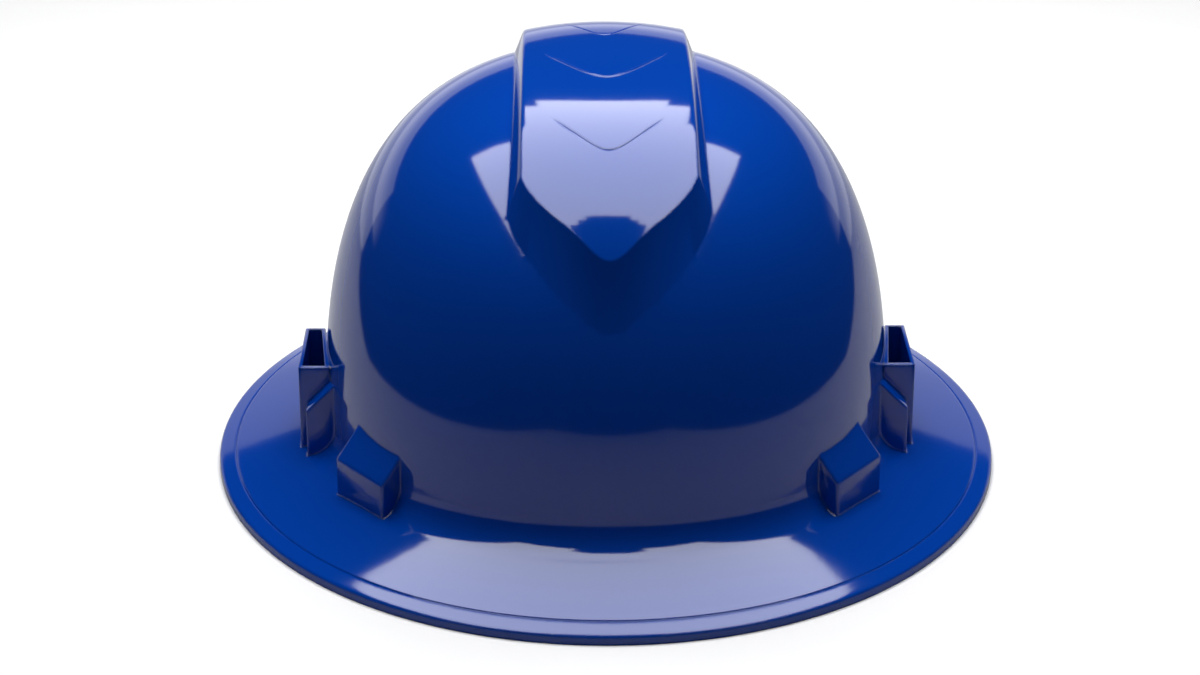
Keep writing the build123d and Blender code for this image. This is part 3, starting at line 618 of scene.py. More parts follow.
# A flat strip carried along a line in a plane: each section is a rounded oblong, width across and
# thickness along the line's normal. halfWidths holds half the width at each point of the line.
def makeStrip(name, line, plane, halfWidths, thickness, edge, sideSteps=7, faceSteps=7):
    origin, first, second, third = (np.array(v, float) for v in plane)
    tangent = np.gradient(line, axis=0)
    tangent /= np.linalg.norm(tangent, axis=1)[:, None]
    normal = np.stack([-tangent[:, 1], tangent[:, 0]], -1)
    turn = np.linspace(-math.pi / 2, math.pi / 2, sideSteps)
    half = thickness / 2
    middle = np.linspace(-1, 1, faceSteps + 2)[1:-1]
    side, face = np.ones(sideSteps), np.ones(faceSteps)
    bulge = np.r_[-edge * np.cos(turn), 0 * face, edge * np.cos(turn), 0 * face]
    share = np.r_[-side, middle, side, -middle]
    depth = np.r_[half * np.sin(turn), half * face, half * np.sin(turn[::-1]), -half * face]
    across = share[None] * (halfWidths[:, None] - edge) + bulge[None]
    flat = line[:, None, :] + normal[:, None, :] * depth[None, :, None]
    rings = origin + flat[..., :1] * first + flat[..., 1:] * second + across[..., None] * third
    piece = tube(name, rings)
    run = distances(line)
    along = np.repeat(run[:, None], across.shape[1], 1)
    fromEnd = np.minimum(along, run[-1] - along)
    addPointValues(piece, {"across": across, "along": along, "fromEnd": fromEnd})
    return piece


# A cubic curve over four corners: (1-t)^3 A + 3t (1-t)^2 B + 3t^2 (1-t) C + t^3 D.
def cubic(corners, t):
    a, b, c, d = (np.array(corner) for corner in corners)
    return (1 - t) ** 3 * a + 3 * t * (1 - t) ** 2 * b + 3 * t**2 * (1 - t) * c + t**3 * d


webbing = {
    "halfWidth": 9.4,
    "thickness": 1.2,
    "rise": 78.0,
    "crossingGap": 1.2,
    "barReach": 101.25,
    "barHeight": 34.0,
    "turnRadius": 2.85,
    "tailEnd": 24.0,  # the sewn tail's reach up the crown, in degrees
    "tailFrom": 12.0,
    "tailPull": 6,  # how far the curve to the bar keeps its first and its last direction
    "barPull": 7.0,
    "edge": 0.55,
    "tailSteps": 10,
    "bendSteps": 12,
    "loopSteps": 17,
    "crownSteps": 70,
}


# Half a strap in its own plane: up the outside from the tail, round the key's bar, and over the
# crown on the ellipse (reach cos t, height + rise sin t).
def webbingHalf(rise):
    w = webbing
    reach = w["barReach"] - w["turnRadius"]
    spread = reach + w["thickness"]
    height = w["barHeight"]
    tail = np.radians(np.linspace(w["tailEnd"], w["tailFrom"], w["tailSteps"]))
    doubled = np.stack([spread * np.cos(tail), height + (rise + w["thickness"]) * np.sin(tail)], -1)
    end = np.array([w["barReach"] + w["turnRadius"], height])
    slant = np.array([spread * math.sin(tail[-1]), -(rise + w["thickness"]) * math.cos(tail[-1])])
    slant /= np.linalg.norm(slant)
    start, above = doubled[-1], np.array([0, w["barPull"]])
    t = np.linspace(0, 1, w["bendSteps"])[1:, None]
    bend = cubic([start, start + w["tailPull"] * slant, end + above, end], t)
    turn = np.radians(np.linspace(0, -180, w["loopSteps"]))[1:]
    x = w["barReach"] + w["turnRadius"] * np.cos(turn)
    loop = np.stack([x, height + w["turnRadius"] * np.sin(turn)], -1)
    over = np.radians(np.linspace(0, 90, w["crownSteps"]))[1:]
    crown = np.stack([reach * np.cos(over), height + rise * np.sin(over)], -1)
    return np.vstack([doubled, bend, loop, crown])


def makeWebbing(name, node, side, rise):
    half = webbingHalf(rise)
    line = np.vstack([half, (half[:-1] * [-1, 1])[::-1]])
    bearing = math.radians(pocket["bearing"])
    out = (side * math.sin(bearing), -math.cos(bearing), 0)
    across = (out[1], -out[0], 0)
    plane = ((0, 0, 0), out, (0, 0, 1), across)
    wide = np.full(len(line), webbing["halfWidth"])
    piece = makeStrip(name, line, plane, wide, webbing["thickness"], webbing["edge"])
    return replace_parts(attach(piece, "hat"), node)


upperRise = webbing["rise"] + webbing["thickness"] + webbing["crossingGap"]
lowerWebbing = makeWebbing("lowerWebbing", "crown_strap_lower", -1, webbing["rise"])
upperWebbing = makeWebbing("upperWebbing", "crown_strap_upper", 1, upperRise)
print("stage: webbing")


padForm = {
    "middle": 0.42,  # the edge's height, as a share of the depth
    "frontPower": 6,
    "backPower": 10,
    "firstRing": 0.02,
    "channelFade": (1, 3),  # a channel ends this far from the seam, and fades over this length
    "sharpAngle": 80,
}


# A sewn pad over the outline a = A |cos|^(2/n), b = B |sin|^(2/n). Its front swells as
# (1 - rho^6)^0.5 and its back as (1 - rho^10)^0.5, and the seam near its edge and the channels
# across it are pulled in. place turns (a, b, depth) arrays into points.
def makePad(name, size, place):
    form, rings, spokes = padForm, size["rings"], size["spokes"]
    rho = np.r_[0, np.sin(np.linspace(form["firstRing"], 1, rings) * math.pi / 2)]
    phi = np.linspace(0, 2 * math.pi, spokes, endpoint=False)
    corner = 2 / size["squareness"]
    unitA = np.sign(np.cos(phi)) * np.abs(np.cos(phi)) ** corner
    unitB = np.sign(np.sin(phi)) * np.abs(np.sin(phi)) ** corner
    r = rho[1:, None]
    a, b = r * unitA * size["halfLength"], r * unitB * size["halfHeight"]
    a, b = np.r_[0, a.ravel()], np.r_[0, b.ravel()]
    share = np.r_[0, np.repeat(rho[1:], spokes)]
    fromSeam = (1 - share) * min(size["halfLength"], size["halfHeight"]) - size["seamInset"]
    pull = size["pull"] * np.exp(-((fromSeam / size["seamWidth"]) ** 2))
    if size["channels"]:
        toChannel = np.abs((a / size["channels"]) % 1 - 0.5) * size["channels"]
        gap, fade = form["channelFade"]
        inside = np.clip((fromSeam - gap) / fade, 0, 1)
        sewn = inside * size["pull"] * np.exp(-((toChannel / size["seamWidth"]) ** 2))
        pull = np.maximum(pull, sewn)
    middle = form["middle"] * size["depth"]
    swell = np.sqrt(np.clip(1 - share ** form["frontPower"], 0, 1))
    front = middle + (size["depth"] - middle) * swell - pull * swell
    back = middle * (1 - np.sqrt(np.clip(1 - share ** form["backPower"], 0, 1)))
    points = np.vstack([place(a, b, front), place(a, b, back)[:-spokes]])
    grid = 1 + gridFaces(rings, spokes, wrapColumns=True)
    step = np.arange(spokes)
    fan = np.stack([np.zeros(spokes, int), 1 + step, 1 + (step + 1) % spokes], -1)
    shift = 1 + rings * spokes
    backGrid = grid + shift
    rim = shift + 1 + (rings - 1) * spokes
    backGrid = np.where(backGrid >= rim, backGrid - shift, backGrid)
    faces = [list(f) for f in (*grid, *fan, *backGrid, *(fan + shift))]
    piece = makePiece(name, points * mm, faces, form["sharpAngle"])
    turnOutwards(piece)
    values = {"across": a, "along": b, "fromSeam": np.abs(fromSeam)}
    addPointValues(piece, {key: np.r_[v, v[:-spokes]] for key, v in values.items()})
    return piece


crownPad = {
    "halfLength": 35.5, "halfHeight": 35.5, "squareness": 2.1, "depth": 5.6, "pull": 1.5,
    "seamInset": 4.0, "seamWidth": 1.0, "channels": 17.0, "rings": 90, "spokes": 180,
    "underStrap": 0.9,
}
browPad = {
    "halfLength": 87.5, "halfHeight": 17.6, "squareness": 7.0, "depth": 5.0, "pull": 1.5,
    "seamInset": 3.6, "seamWidth": 0.9, "channels": 24.0, "rings": 70, "spokes": 420,
    "outerHalfWidth": 82.1, "outerFront": 100.1, "centreY": -2.0, "height": 24.0,
    "turnReach": 1.3, "turnSteps": 600,
}
napePad = {
    "halfLength": 15.8, "halfHeight": 11.8, "squareness": 4.0, "depth": 5.2, "pull": 1.1,
    "seamInset": 3.0, "seamWidth": 0.8, "channels": 0, "rings": 50, "spokes": 140,
    "backY": 92.3, "height": 20.0,
}


# The crown pad hangs under the crossing: its back lies on the straps' ellipse.
def placeCrownPad(a, b, depth):
    w = webbing
    share = np.hypot(a, b) / (w["barReach"] - w["turnRadius"])
    top = w["barHeight"] + (w["rise"] - crownPad["underStrap"]) * np.sqrt(1 - share**2)
    return np.stack([a, b, top - depth], -1)


# The brow pad follows the headband's front: a is measured along its oval, depth goes inwards.
def placeBrowPad(a, b, depth):
    p = browPad
    t = np.linspace(-p["turnReach"], p["turnReach"], p["turnSteps"])
    y = p["centreY"] - p["outerFront"] * np.cos(t)
    line = np.stack([p["outerHalfWidth"] * np.sin(t), y], -1)
    run = distances(line)
    at = np.interp(a, run - run[-1] / 2, t)
    out = np.stack([np.sin(at) / p["outerHalfWidth"], -np.cos(at) / p["outerFront"]], -1)
    out /= np.linalg.norm(out, axis=1)[:, None]
    x = p["outerHalfWidth"] * np.sin(at) - out[:, 0] * depth
    y = p["centreY"] - p["outerFront"] * np.cos(at) - out[:, 1] * depth
    return np.stack([x, y, p["height"] + b], -1)


def placeNapePad(a, b, depth):
    return np.stack([a, napePad["backY"] - depth, napePad["height"] + b], -1)


crownCushion = makePad("crownCushion", crownPad, placeCrownPad)
browCushion = makePad("browCushion", browPad, placeBrowPad)
napeCushion = makePad("napeCushion", napePad, placeNapePad)
for cushion, body, node in (
    (crownCushion, "hat", "crown_pad"),
    (browCushion, "hat", "brow_pad"),
    (napeCushion, "ratchet", "nape_pad"),
):
    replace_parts(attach(cushion, body), node)
print("stage: pads")


napeStrap = {
    "middleX": 81.3,
    "sideEnd": -4.0,
    "bendFrom": 14.0,
    "bendShare": 0.34,
    "straightFrom": 41.0,
    "tip": -11.5,
    "thickness": 1.6,
    "bottom": 12.0,
    "top": 28.0,
    "tipRadius": 4.0,
    "endRadius": 6.0,
    "innerLayer": 95.0,
    "outerLayer": 96.9,
    "rackHeight": 20.0,
    "rackRun": 28.0,
    "toothPitch": 2.6,
    "teeth": 15,
    "firstTooth": -1.5,  # in pitches from the gear's axis
    "toothTip": 3.288,
    "toothRoot": 5.238,
    "tipHalfWidth": 0.2,
    "rootHalfWidth": 0.9,
    "freeEdge": 5.488,
    "rivetRows": [1.0, 9.0],
    "rivetHole": 1.7,
    "edge": 0.35,
    "cutReach": 3,  # how far the cutters reach to both sides of the strap's middle
    "straightMiddle": 8.0,
    "endAngle": 0.12,
    "endSteps": 12,
    "bendSteps": 60,
    "straightSteps": 20,
    "holeSteps": 32,
    "sharpAngle": 28,
}


# The slot's outline: straight along its free edge, with the rack's teeth along the other.
def rackOutline(toothEdge):
    n = napeStrap
    free, root, tip = n["freeEdge"], n["toothRoot"], n["toothTip"]
    start, end = -free, -free + n["rackRun"] + 2 * free
    outline = [(start, -free), (end, -free), (end, root)]
    flanks = ((n["rootHalfWidth"], root), (n["tipHalfWidth"], tip))
    for tooth in reversed(range(n["teeth"])):
        middle = (tooth + n["firstTooth"]) * n["toothPitch"]
        outline += [(middle + half, level) for half, level in flanks]
        outline += [(middle - half, level) for half, level in flanks[::-1]]
    outline.append((start, root))
    return [(x, n["rackHeight"] + toothEdge * z) for x, z in outline]


# The half widths along an end that is rounded by an arc, at the given steps from the end.
def roundedEnd(half, radius, steps):
    return half - radius + np.sqrt(radius**2 - (radius - steps) ** 2)


# A nape strap: straight from the temple, round the corner on a cubic, straight across the rear.
# Its half width narrows to rounded ends.
def makeNapeStrap(name, side):
    n = napeStrap
    layer = n["outerLayer" if side > 0 else "innerLayer"]
    y = layer + n["thickness"] / 2
    x, bendY, share = n["middleX"], n["bendFrom"], n["bendShare"]
    straight, endRadius, tipRadius = n["straightFrom"], n["endRadius"], n["tipRadius"]
    pulled = ((x, bendY + share * (y - bendY)), (straight + share * (x - straight), y))
    t = np.linspace(0, 1, n["bendSteps"])[:, None]
    bend = cubic([(x, bendY), *pulled, (straight, y)], t)
    turn = np.linspace(n["endAngle"], math.pi / 2, n["endSteps"])
    endSteps = endRadius * (1 - np.cos(turn))
    tipSteps = tipRadius * (1 - np.cos(turn[::-1]))
    count = n["endSteps"]
    first = np.stack([np.full(count, x), n["sideEnd"] + endSteps], -1)
    last = np.stack([n["tip"] + tipSteps, np.full(count, y)], -1)
    run = np.linspace(straight, n["tip"] + tipRadius, n["straightSteps"])[1:-1]
    middle = np.stack([run, np.full(len(run), y)], -1)
    line = np.vstack([first, [[x, n["straightMiddle"]]], bend, middle, last])
    half = (n["top"] - n["bottom"]) / 2
    wide = np.full(len(line), half)
    wide[:count] = roundedEnd(half, endRadius, endSteps)
    wide[-count:] = roundedEnd(half, tipRadius, tipSteps)
    plane = ((0, 0, n["rackHeight"]), (1, 0, 0), (0, 1, 0), (0, 0, 1))
    piece = makeStrip(name, line, plane, wide, n["thickness"], n["edge"])
    cut = n["cutReach"]
    cutters = [prism("rackSlot", rackOutline(side), rearPlane, y - cut, y + cut)]
    angle = np.linspace(0, 2 * math.pi, n["holeSteps"], endpoint=False)
    for row in n["rivetRows"]:
        along = row + n["rivetHole"] * np.cos(angle)
        hole = np.stack([along, n["rackHeight"] + n["rivetHole"] * np.sin(angle)], -1)
        cutters.append(prism("rivetHole", hole, sidePlane, x - cut, x + cut))
    combine(piece, cutters, "DIFFERENCE")
    if side < 0:
        place = np.empty(len(piece.data.vertices) * 3)
        piece.data.vertices.foreach_get("co", place)
        place[::3] *= -1
        piece.data.vertices.foreach_set("co", place)
        piece.data.update()
    turnOutwards(piece)
    shadeByAngle(piece, n["sharpAngle"])
    return piece


napeBands = []
for side, word in ((-1, "left"), (1, "right")):
    strap = makeNapeStrap(word + "NapeBand", side)
    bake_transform(strap)
    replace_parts(strap, word + "_nape_strap")
    napeBands.append(strap)
print("stage: nape straps")


# Wraps a socket, so that shader maths reads as an expression. A wave is sin(2 pi value / pitch).
class Value:
    def __init__(self, build, socket):
        self.build, self.socket = build, socket

    def join(self, operation, a, b=None):
        values = {0: a} if b is None else {0: a, 1: b}
        return self.build.node("ShaderNodeMath", {"operation": operation}, values)[0]

    def __add__(self, other): return self.join("ADD", self, other)
    def __radd__(self, other): return self.join("ADD", other, self)
    def __sub__(self, other): return self.join("SUBTRACT", self, other)
    def __rsub__(self, other): return self.join("SUBTRACT", other, self)
    def __mul__(self, other): return self.join("MULTIPLY", self, other)
    def __rmul__(self, other): return self.join("MULTIPLY", other, self)
    def __truediv__(self, other): return self.join("DIVIDE", self, other)
    def __gt__(self, other): return self.join("GREATER_THAN", self, other)
    def __lt__(self, other): return self.join("LESS_THAN", self, other)
    def sine(self): return self.join("SINE", self)
    def wave(self, pitch): return (self * (2 * math.pi / pitch)).sine()
    def size(self): return self.join("ABSOLUTE", self)
    def root(self): return self.join("SQRT", self)
    def fraction(self): return self.join("FRACT", self)
    def atLeast(self, low): return self.join("MAXIMUM", self, low)
    def atMost(self, high): return self.join("MINIMUM", self, high)


# Adds nodes to one tree.
class Build:
    def __init__(self, tree):
        self.tree = tree
        tree.nodes.clear()

    def node(self, kind, settings=None, inputs=None):
        made = self.tree.nodes.new(kind)
        for name, value in (settings or {}).items():
            setattr(made, name, value)
        for key, value in (inputs or {}).items():
            socket = made.inputs[key]
            if isinstance(value, Value):
                self.tree.links.new(value.socket, socket)
            else:
                socket.default_value = value
        return [Value(self, out) for out in made.outputs]

    def mixColour(self, factor, a, b):
        return self.node("ShaderNodeMix", {"data_type": "RGBA"}, {0: factor, 6: a, 7: b})[2]

    def bump(self, height, distance, strength, normal=None):
        inputs = {"Height": height, "Distance": distance, "Strength": strength}
        if normal is not None:
            inputs["Normal"] = normal
        return self.node("ShaderNodeBump", {}, inputs)[0]

    def smooth(self, value, low, high):
        settings = {"interpolation_type": "SMOOTHSTEP"}
        return self.node("ShaderNodeMapRange", settings, {0: value, 1: low, 2: high})[0]

    def noise(self, place, scale, detail=2.0):
        inputs = {"Vector": place, "Scale": scale, "Detail": detail}
        return self.node("ShaderNodeTexNoise", {}, inputs)[0]

    def place(self):
        return self.node("ShaderNodeTexCoord")[3]

    def mixShader(self, factor, a, b):
        return self.node("ShaderNodeMixShader", {}, {0: factor, 1: a, 2: b})[0]

    def pointValue(self, name):
        return self.node("ShaderNodeAttribute", {"attribute_name": name})[2]

    def rounded(self, look):
        inputs = {"Radius": look["cornerRadius"]}
        return self.node("ShaderNodeBevel", {"samples": look["cornerSamples"]}, inputs)[0]

    # Cloth: its pattern paints shade, lighter on the raised threads and darker in the hollows, and
    # some fuzz varies the tone at random between dark and light; stitches lie on top.
    def finishShadedCloth(self, look, pattern, thread):
        fuzz = self.noise(self.place(), look["fuzzScale"], look["fuzzDetail"])
        # The pattern's share is painted shade, darker in the hollows; the fuzz's share is random
        # tone.
        patternShade, fuzzTint = look["shadeAndTone"]
        shadeAndTone = self.mixColour(pattern * patternShade + fuzz * fuzzTint, look["dark"], look["light"])
        patternRise, threadRise, fuzzRise = look["relief"]
        relief = pattern * patternRise + thread * threadRise + fuzz * fuzzRise
        self.finish({
            "Base Color": self.mixColour(thread, shadeAndTone, look["thread"]),
            "Roughness": look["roughness"] + (fuzz - 0.5) * look["roughnessSpread"],
            "Normal": self.bump(relief, look["depth"], look["strength"]),
            "Sheen Weight": look["sheen"],
        })

    def finish(self, settings):
        shader = self.node("ShaderNodeBsdfPrincipled", {}, settings)[0]
        self.node("ShaderNodeOutputMaterial", {}, {"Surface": shader})


def newMaterial(name):
    material = bpy.data.materials.new(name)
    material.use_nodes = True
    return material, Build(material.node_tree)


# A colour as it is seen on screen, turned into the numbers that a shader takes.
def linear(colour):
    levels = (c / 12.92 if c <= 0.04045 else ((c + 0.055) / 1.055) ** 2.4 for c in colour)
    return (*levels, 1.0)


shellLook = {
    "colour": linear((0.0, 0.245, 0.65)),
    "shade": linear((0.0, 0.235, 0.625)),
    "roughness": 0.075,
    "roughnessSpread": 0.02,
    "cornerRadius": 0.0014,
    "cornerSamples": 6,
    "lineHalfWidth": 0.0004,
    "lineAbove": 0.004,
    "creaseHalfWidth": 0.00042,
    "creaseFade": 4,
    "creaseAbove": 0.12,
    "cutDepth": 0.00022,
    "slowScale": 9.0,
    "fineScale": 260.0,
    "fineDepth": 0.000012,
    "fineStrength": 0.5,
    "refraction": 1.54,
}


# Glossy moulded plastic. A bump deepens the shell's fine grooves: each is 1 - |distance| / half
# width, cut at nought. One is the oval along the rim, and three are the creases on the band.
def makeShellPlastic():
    look = shellLook
    material, build = newMaterial("glossyShellPlastic")
    coordinates = build.node("ShaderNodeTexCoord")
    place = coordinates[3]
    x, y, z = build.node("ShaderNodeSeparateXYZ", {}, {0: place})
    facing = build.node("ShaderNodeSeparateXYZ", {}, {0: coordinates[1]})[2]
    halfWidth = (shell["halfWidth"] - groove["rimInset"]) * mm
    halfLength = (shell["halfLength"] - groove["rimInset"]) * mm
    across, along = x / halfWidth, y / halfLength
    toLine = ((across * across + along * along).root() - 1) * halfWidth
    cut = (1 - toLine.size() / look["lineHalfWidth"]).atLeast(0) * (z > look["lineAbove"])
    bend = groove["creaseBend"]
    for tip, half, back in groove["creases"]:
        share = x / (half * mm)
        reach = back * mm / (math.sqrt(1 + bend**2) - bend)
        arm = ((share * share + bend**2).root() - bend) * reach + tip * mm
        fade = ((1 - share.size()) * look["creaseFade"]).atLeast(0).atMost(1)
        line = (1 - (y - arm).size() / look["creaseHalfWidth"]).atLeast(0)
        cut = cut + line * fade * (z > look["creaseAbove"])
    cut = cut * (facing > 0)
    slow = build.noise(place, look["slowScale"])
    fine = build.noise(place, look["fineScale"])
    grooved = build.bump(1 - cut, look["cutDepth"], 1.0, build.rounded(look))
    build.finish({
        "Base Color": build.mixColour(slow, look["shade"], look["colour"]),
        "Roughness": look["roughness"] + (fine - 0.5) * look["roughnessSpread"],
        "Normal": build.bump(fine, look["fineDepth"], look["fineStrength"], grooved),
        "IOR": look["refraction"],
    })
    return material


grainLook = {
    "lighter": (1.35, 0.004),
    "roughnessSpread": 0.12,
    "cornerRadius": 0.0004,
    "cornerSamples": 4,
    "slowScale": 30.0,
    "grainScale": 900.0,
    "detail": 3.0,
    "grainDepth": 0.00004,
    "grainStrength": 0.6,
}


# Moulded plastic with a fine grain, a little lighter in slow patches.
def makeGrainPlastic(name, colour, roughness):
    look = grainLook
    material, build = newMaterial(name)
    place = build.place()
    grain = build.noise(place, look["grainScale"], look["detail"])
    slow = build.noise(place, look["slowScale"], look["detail"])
    gain, more = look["lighter"]
    lighter = tuple(min(1, c * gain + more) for c in colour[:3]) + (1.0,)
    normal = build.bump(grain, look["grainDepth"], look["grainStrength"], build.rounded(look))
    build.finish({
        "Base Color": build.mixColour(slow, colour, lighter),
        "Roughness": roughness + (slow - 0.5) * look["roughnessSpread"],
        "Normal": normal,
    })
    return material


# Lengths in millimetres, as the strap's own values are, but the bump's depth in metres.
weaveLook = {
    "dark": linear((0.12, 0.125, 0.135)),
    "light": linear((0.29, 0.3, 0.32)),
    "thread": linear((0.62, 0.63, 0.65)),
    "warpPitch": 1.5,
    "weftPitch": 1.1,
    "selvagePitch": 0.6,
    "selvageDepth": 0.4,
    "bodyHalfWidth": 8.2,
    "seamRows": (5, 10),
    "seamHalfWidth": 0.45,
    "seamHalfLength": 7.6,
    "stitchPitch": 2.4,
    "stitchShare": 0.68,
    "fuzzScale": 1500.0,
    "fuzzDetail": 3.0,
    # the pattern's share paints shade in the weave's hollows, the fuzz's share is random tone
    "shadeAndTone": (0.3, 0.5),
    "relief": (0.5, 1.2, 0.15),
    "depth": 0.00022,
    "strength": 0.8,
    "roughness": 0.82,
    "roughnessSpread": 0.15,
    "sheen": 0.2,
}


# Plain weave: warp and weft are sine waves across and along the strap, with a close selvage, and
# two rows of thread near each tail's end.
def makeWebbingWeave():
    look = weaveLook
    material, build = newMaterial("wovenWebbing")
    across, along, fromEnd = (build.pointValue(n) for n in ("across", "along", "fromEnd"))
    body = across.size() < look["bodyHalfWidth"]
    selvage = along.wave(look["selvagePitch"]) * look["selvageDepth"] * (1 - body)
    weave = across.wave(look["warpPitch"]) * along.wave(look["weftPitch"]) * body + selvage
    near, far = ((fromEnd - row).size() < look["seamHalfWidth"] for row in look["seamRows"])
    stitches = (across / look["stitchPitch"]).fraction() < look["stitchShare"]
    thread = (near + far) * stitches * (across.size() < look["seamHalfLength"])
    # The weave's relief also paints shade into the colour: hollows darker, raised threads lighter.
    build.finishShadedCloth(look, weave, thread)
    return material


knitLook = {
    "dark": linear((0.13, 0.13, 0.14)),
    "light": linear((0.31, 0.31, 0.33)),
    "thread": linear((0.5, 0.5, 0.52)),
    "loopPitch": 1.0,
    "rowPitch": 1.3,
    "loopSway": 1.2,
    "seamHalfWidth": 0.34,
    "stitchPitch": 2.6,
    "stitchShare": 0.7,
    "fuzzScale": 1100.0,
    "fuzzDetail": 4.0,
    # the pattern's share paints shade in the knit's hollows, the fuzz's share is random tone
    "shadeAndTone": (0.3, 0.6),
    "relief": (0.4, 0.8, 0.5),
    "depth": 0.00028,
    "strength": 0.8,
    "roughness": 0.9,
    "roughnessSpread": 0.1,
    "sheen": 0.35,
}


# Brushed knit over foam: loops are the sine across times the sine along, which sways with the
# first. The thread shows along the seam.
def makePadKnit():
    look = knitLook
    material, build = newMaterial("brushedKnit")
    across, along, fromSeam = (build.pointValue(n) for n in ("across", "along", "fromSeam"))
    column = across.wave(look["loopPitch"])
    row = (along * (2 * math.pi / look["rowPitch"]) + column * look["loopSway"]).sine()
    stitches = ((across + along) / look["stitchPitch"]).fraction() < look["stitchShare"]
    # The loops' relief also paints shade into the colour: hollows darker, raised loops lighter.
    build.finishShadedCloth(look, column * row, (fromSeam < look["seamHalfWidth"]) * stitches)
    return material


steelLook = {
    "dark": linear((0.62, 0.63, 0.64)),
    "light": linear((0.78, 0.78, 0.79)),
    "roughness": 0.3,
    "roughnessSpread": 0.15,
    "spotScale": 700.0,
    "spotDetail": 4.0,
    "spotDepth": 0.00002,
    "spotStrength": 0.5,
}


def makeScrewSteel():
    look = steelLook
    material, build = newMaterial("zincSteel")
    spots = build.noise(build.place(), look["spotScale"], look["spotDetail"])
    build.finish({
        "Base Color": build.mixColour(spots, look["dark"], look["light"]),
        "Metallic": 1.0,
        "Roughness": look["roughness"] + (spots - 0.5) * look["roughnessSpread"],
        "Normal": build.bump(spots, look["spotDepth"], look["spotStrength"]),
    })
    return material


def dress(piece, material):
    piece.data.materials.clear()
    piece.data.materials.append(material)


bandPlastic = makeGrainPlastic("suspensionPlastic", linear((0.17, 0.17, 0.18)), 0.42)
padKnit = makePadKnit()
webbingWeave = makeWebbingWeave()
slotMaterials = {
    "suspension_plastic": bandPlastic,
    "knob_plastic": makeGrainPlastic("knobPlastic", linear((0.14, 0.14, 0.15)), 0.38),
    "gear_plastic": makeGrainPlastic("gearPlastic", linear((0.78, 0.78, 0.76)), 0.36),
    "rivet_plastic": makeGrainPlastic("rivetPlastic", linear((0.2, 0.2, 0.21)), 0.34),
    "screw_steel": makeScrewSteel(),
}
for entry in frame["record"]["subparts"]:
    if entry["material_slot"] in slotMaterials:
        dress(nodes[entry["node"]], slotMaterials[entry["material_slot"]])
dress(shellSkin, makeShellPlastic())
for strap in (lowerWebbing, upperWebbing):
    dress(strap, webbingWeave)
for cushion in (crownCushion, browCushion, napeCushion):
    dress(cushion, padKnit)
for strap in napeBands:
    dress(strap, bandPlastic)
print("stage: materials")


studio = {
    "cameraDistance": 1.150,
    "cameraElevation": 21.07,
    "cameraTurn": 0.92,
    "aim": (0.0, 0.0, 0.075),
    "focalPixels": 3107.0,
    "aimPixel": (605.7, 256.9),
    "imageSize": (1200.0, 675.0),
    "sensorWidth": 36.0,
    "clipping": (0.05, 50.0),
    "softboxHeight": 0.45,
    # x and y of two corners: the box, its narrower rear end and its two arms beside the camera
    "softboxes": [
        ((-0.30, -0.178), (0.30, 0.23)),
        ((-0.13, 0.23), (0.13, 0.355)),
        ((-0.09, 0.355), (0.09, 0.40)),
        ((-0.30, -0.19), (-0.055, -0.178)),
        ((0.055, -0.19), (0.30, -0.178)),
        ((-0.30, -0.205), (-0.076, -0.19)),
        ((0.076, -0.205), (0.30, -0.19)),
        ((-0.30, -0.285), (-0.098, -0.205)),
        ((0.098, -0.285), (0.30, -0.205)),
    ],
    "softboxBrightness": 5.6,
    "backdropPlace": (0.0, 0.62, 0.125),
    "backdropSize": (1.4, 0.25),
    "backdropBrightness": 0.5,
    "fillPlace": (0.0, 0.2, 1.0),
    "fillSize": (1.2, 0.8),
    "fillWatts": 16.8,
    "ambient": 0.05,
    "floorHalfSize": 6.0,
    "floorSeen": (0.95, 0.95, 0.955, 1),
    "floorPaper": (0.45, 0.45, 0.455, 1),
    "room": (0.012, 0.012, 0.016, 1),
    "tableFrontEdge": -0.70,
    "tableHalfWidth": 0.31,
    "tableFlare": 0.66,  # how fast it widens behind the hat
    "tableFlareFrom": 0.06,
    "tableSoftness": 0.006,
    "sheetFrom": (0.62, 0.74),
    "sheetTop": (0.0, 0.14),
    "sheetBrightness": 0.5,
    "roomBrightness": 0.012,
}


def makeCamera():
    camera = bpy.data.objects.new("camera", bpy.data.cameras.new("camera"))
    bpy.context.scene.collection.objects.link(camera)
    bpy.context.scene.camera = camera
    e, turn = math.radians(studio["cameraElevation"]), math.radians(studio["cameraTurn"])
    back = np.array([-math.cos(e) * math.sin(turn), -math.cos(e) * math.cos(turn), math.sin(e)])
    right = np.array([math.cos(turn), -math.sin(turn), 0.0])
    up = np.cross(back, right)
    width, height = studio["imageSize"]
    across = (width / 2 - studio["aimPixel"][0]) / studio["focalPixels"]
    down = (height / 2 - studio["aimPixel"][1]) / studio["focalPixels"]
    look = -back + right * across - up * down
    camera.location = np.array(studio["aim"]) + back * studio["cameraDistance"]
    camera.rotation_euler = Vector(look).to_track_quat("-Z", "Y").to_euler()
    camera.data.sensor_width = studio["sensorWidth"]
    camera.data.lens = studio["focalPixels"] / width * studio["sensorWidth"]
    camera.data.clip_start, camera.data.clip_end = studio["clipping"]


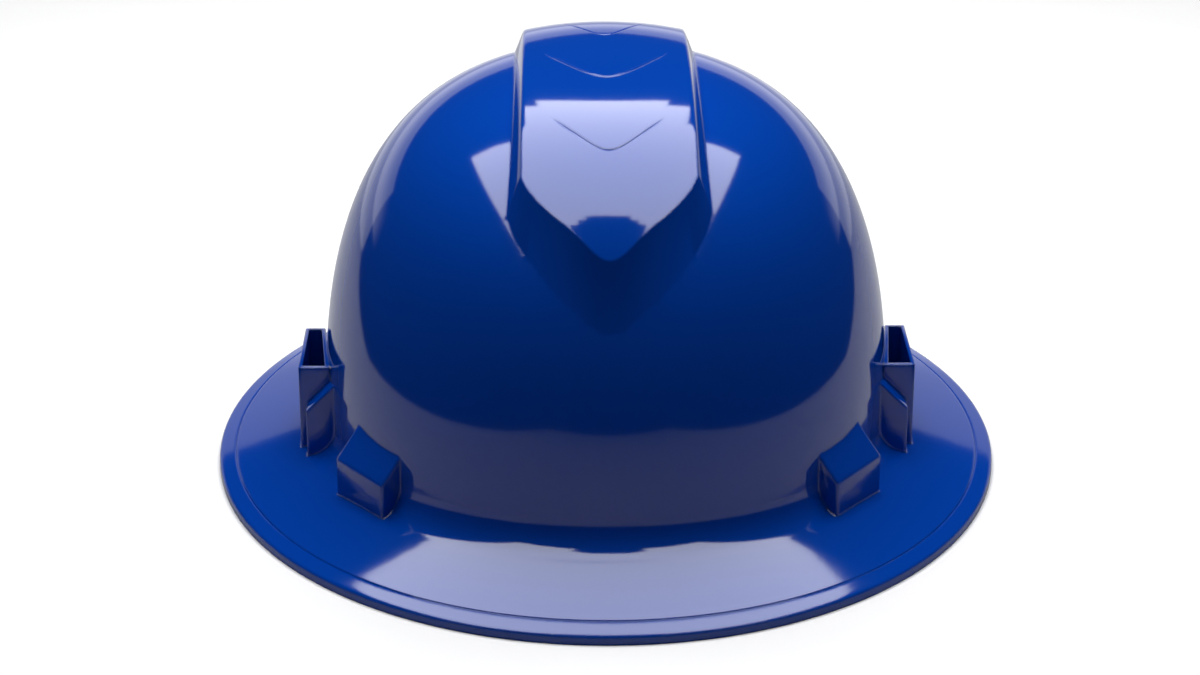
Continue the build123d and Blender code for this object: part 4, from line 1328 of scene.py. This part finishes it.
# A pale floor, endless for the camera. Other rays find a paper table that widens behind the hat, and
# a dark room beyond it.
def makeFloor():
    size = studio["floorHalfSize"]
    points = [(-size, -size, 0), (size, -size, 0), (size, size, 0), (-size, size, 0)]
    floor = makePiece("floor", points, [(0, 1, 2, 3)])
    material, build = newMaterial("floor")
    camera = build.node("ShaderNodeLightPath")[0]
    x, y = build.node("ShaderNodeSeparateXYZ", {}, {0: build.place()})[:2]
    pale = build.node("ShaderNodeBsdfDiffuse", {}, {"Color": studio["floorSeen"]})[0]
    paper = build.node("ShaderNodeBsdfDiffuse", {}, {"Color": studio["floorPaper"]})[0]
    dark = build.node("ShaderNodeEmission", {}, {"Color": studio["room"], "Strength": 1.0})[0]
    behind = (y - studio["tableFlareFrom"]).atLeast(0)
    wide = behind * studio["tableFlare"] + studio["tableHalfWidth"]
    soft = studio["tableSoftness"]
    within = build.smooth(wide - x.size(), -soft, soft) * (y > studio["tableFrontEdge"])
    shader = build.mixShader(camera, build.mixShader(within, dark, paper), pale)
    build.node("ShaderNodeOutputMaterial", {}, {"Surface": shader})
    dress(floor, material)


# The camera sees white. Mirrored rays see the foot of a sheet behind the hat, near the horizon, and
# a dark room elsewhere. Other rays get a little ambient light.
def makeWorld():
    world = bpy.data.worlds.new("studio")
    bpy.context.scene.world = world
    world.use_nodes = True
    build = Build(world.node_tree)
    path = build.node("ShaderNodeLightPath")
    direction = build.node("ShaderNodeTexCoord")[0]
    along, up = build.node("ShaderNodeSeparateXYZ", {}, {0: direction})[1:3]
    sheet = build.smooth(along, *studio["sheetFrom"]) * (1 - build.smooth(up, *studio["sheetTop"]))
    mirrors = sheet * studio["sheetBrightness"] + studio["roomBrightness"]
    seen, ambient, mirrored = (
        build.node("ShaderNodeBackground", {}, {"Color": (1, 1, 1, 1), "Strength": strength})[0]
        for strength in (1.0, studio["ambient"], mirrors)
    )
    shader = build.mixShader(path[0], build.mixShader(path[3], ambient, mirrored), seen)
    build.node("ShaderNodeOutputWorld", {}, {"Surface": shader})


def makeLamp(name, place, size, watts):
    light = bpy.data.lights.new(name, "AREA")
    light.shape, light.size, light.size_y, light.energy = "RECTANGLE", size[0], size[1], watts
    lamp = bpy.data.objects.new(name, light)
    bpy.context.scene.collection.objects.link(lamp)
    lamp.location = place
    return lamp


# A lamp of brightness L over an area A gives pi L A watts.
def wattsOver(brightness, size):
    return math.pi * brightness * size[0] * size[1]


# The softbox and the backdrop are seen in reflections only, and the fill lights without being seen.
def makeLights():
    for (x0, y0), (x1, y1) in studio["softboxes"]:
        size = (x1 - x0, y1 - y0)
        watts = wattsOver(studio["softboxBrightness"], size)
        place = ((x0 + x1) / 2, (y0 + y1) / 2, studio["softboxHeight"])
        makeLamp("softbox", place, size, watts).visible_diffuse = False
    size = studio["backdropSize"]
    watts = wattsOver(studio["backdropBrightness"], size)
    backdrop = makeLamp("backdrop", studio["backdropPlace"], size, watts)
    backdrop.rotation_euler = (-math.pi / 2, 0, 0)  # faces the hat
    backdrop.visible_diffuse = backdrop.visible_camera = False
    fill = makeLamp("fill", studio["fillPlace"], studio["fillSize"], studio["fillWatts"])
    fill.visible_glossy = False


makeCamera()
makeFloor()
makeWorld()
makeLights()
bpy.context.scene.view_settings.view_transform = "Standard"
print("stage: studio")
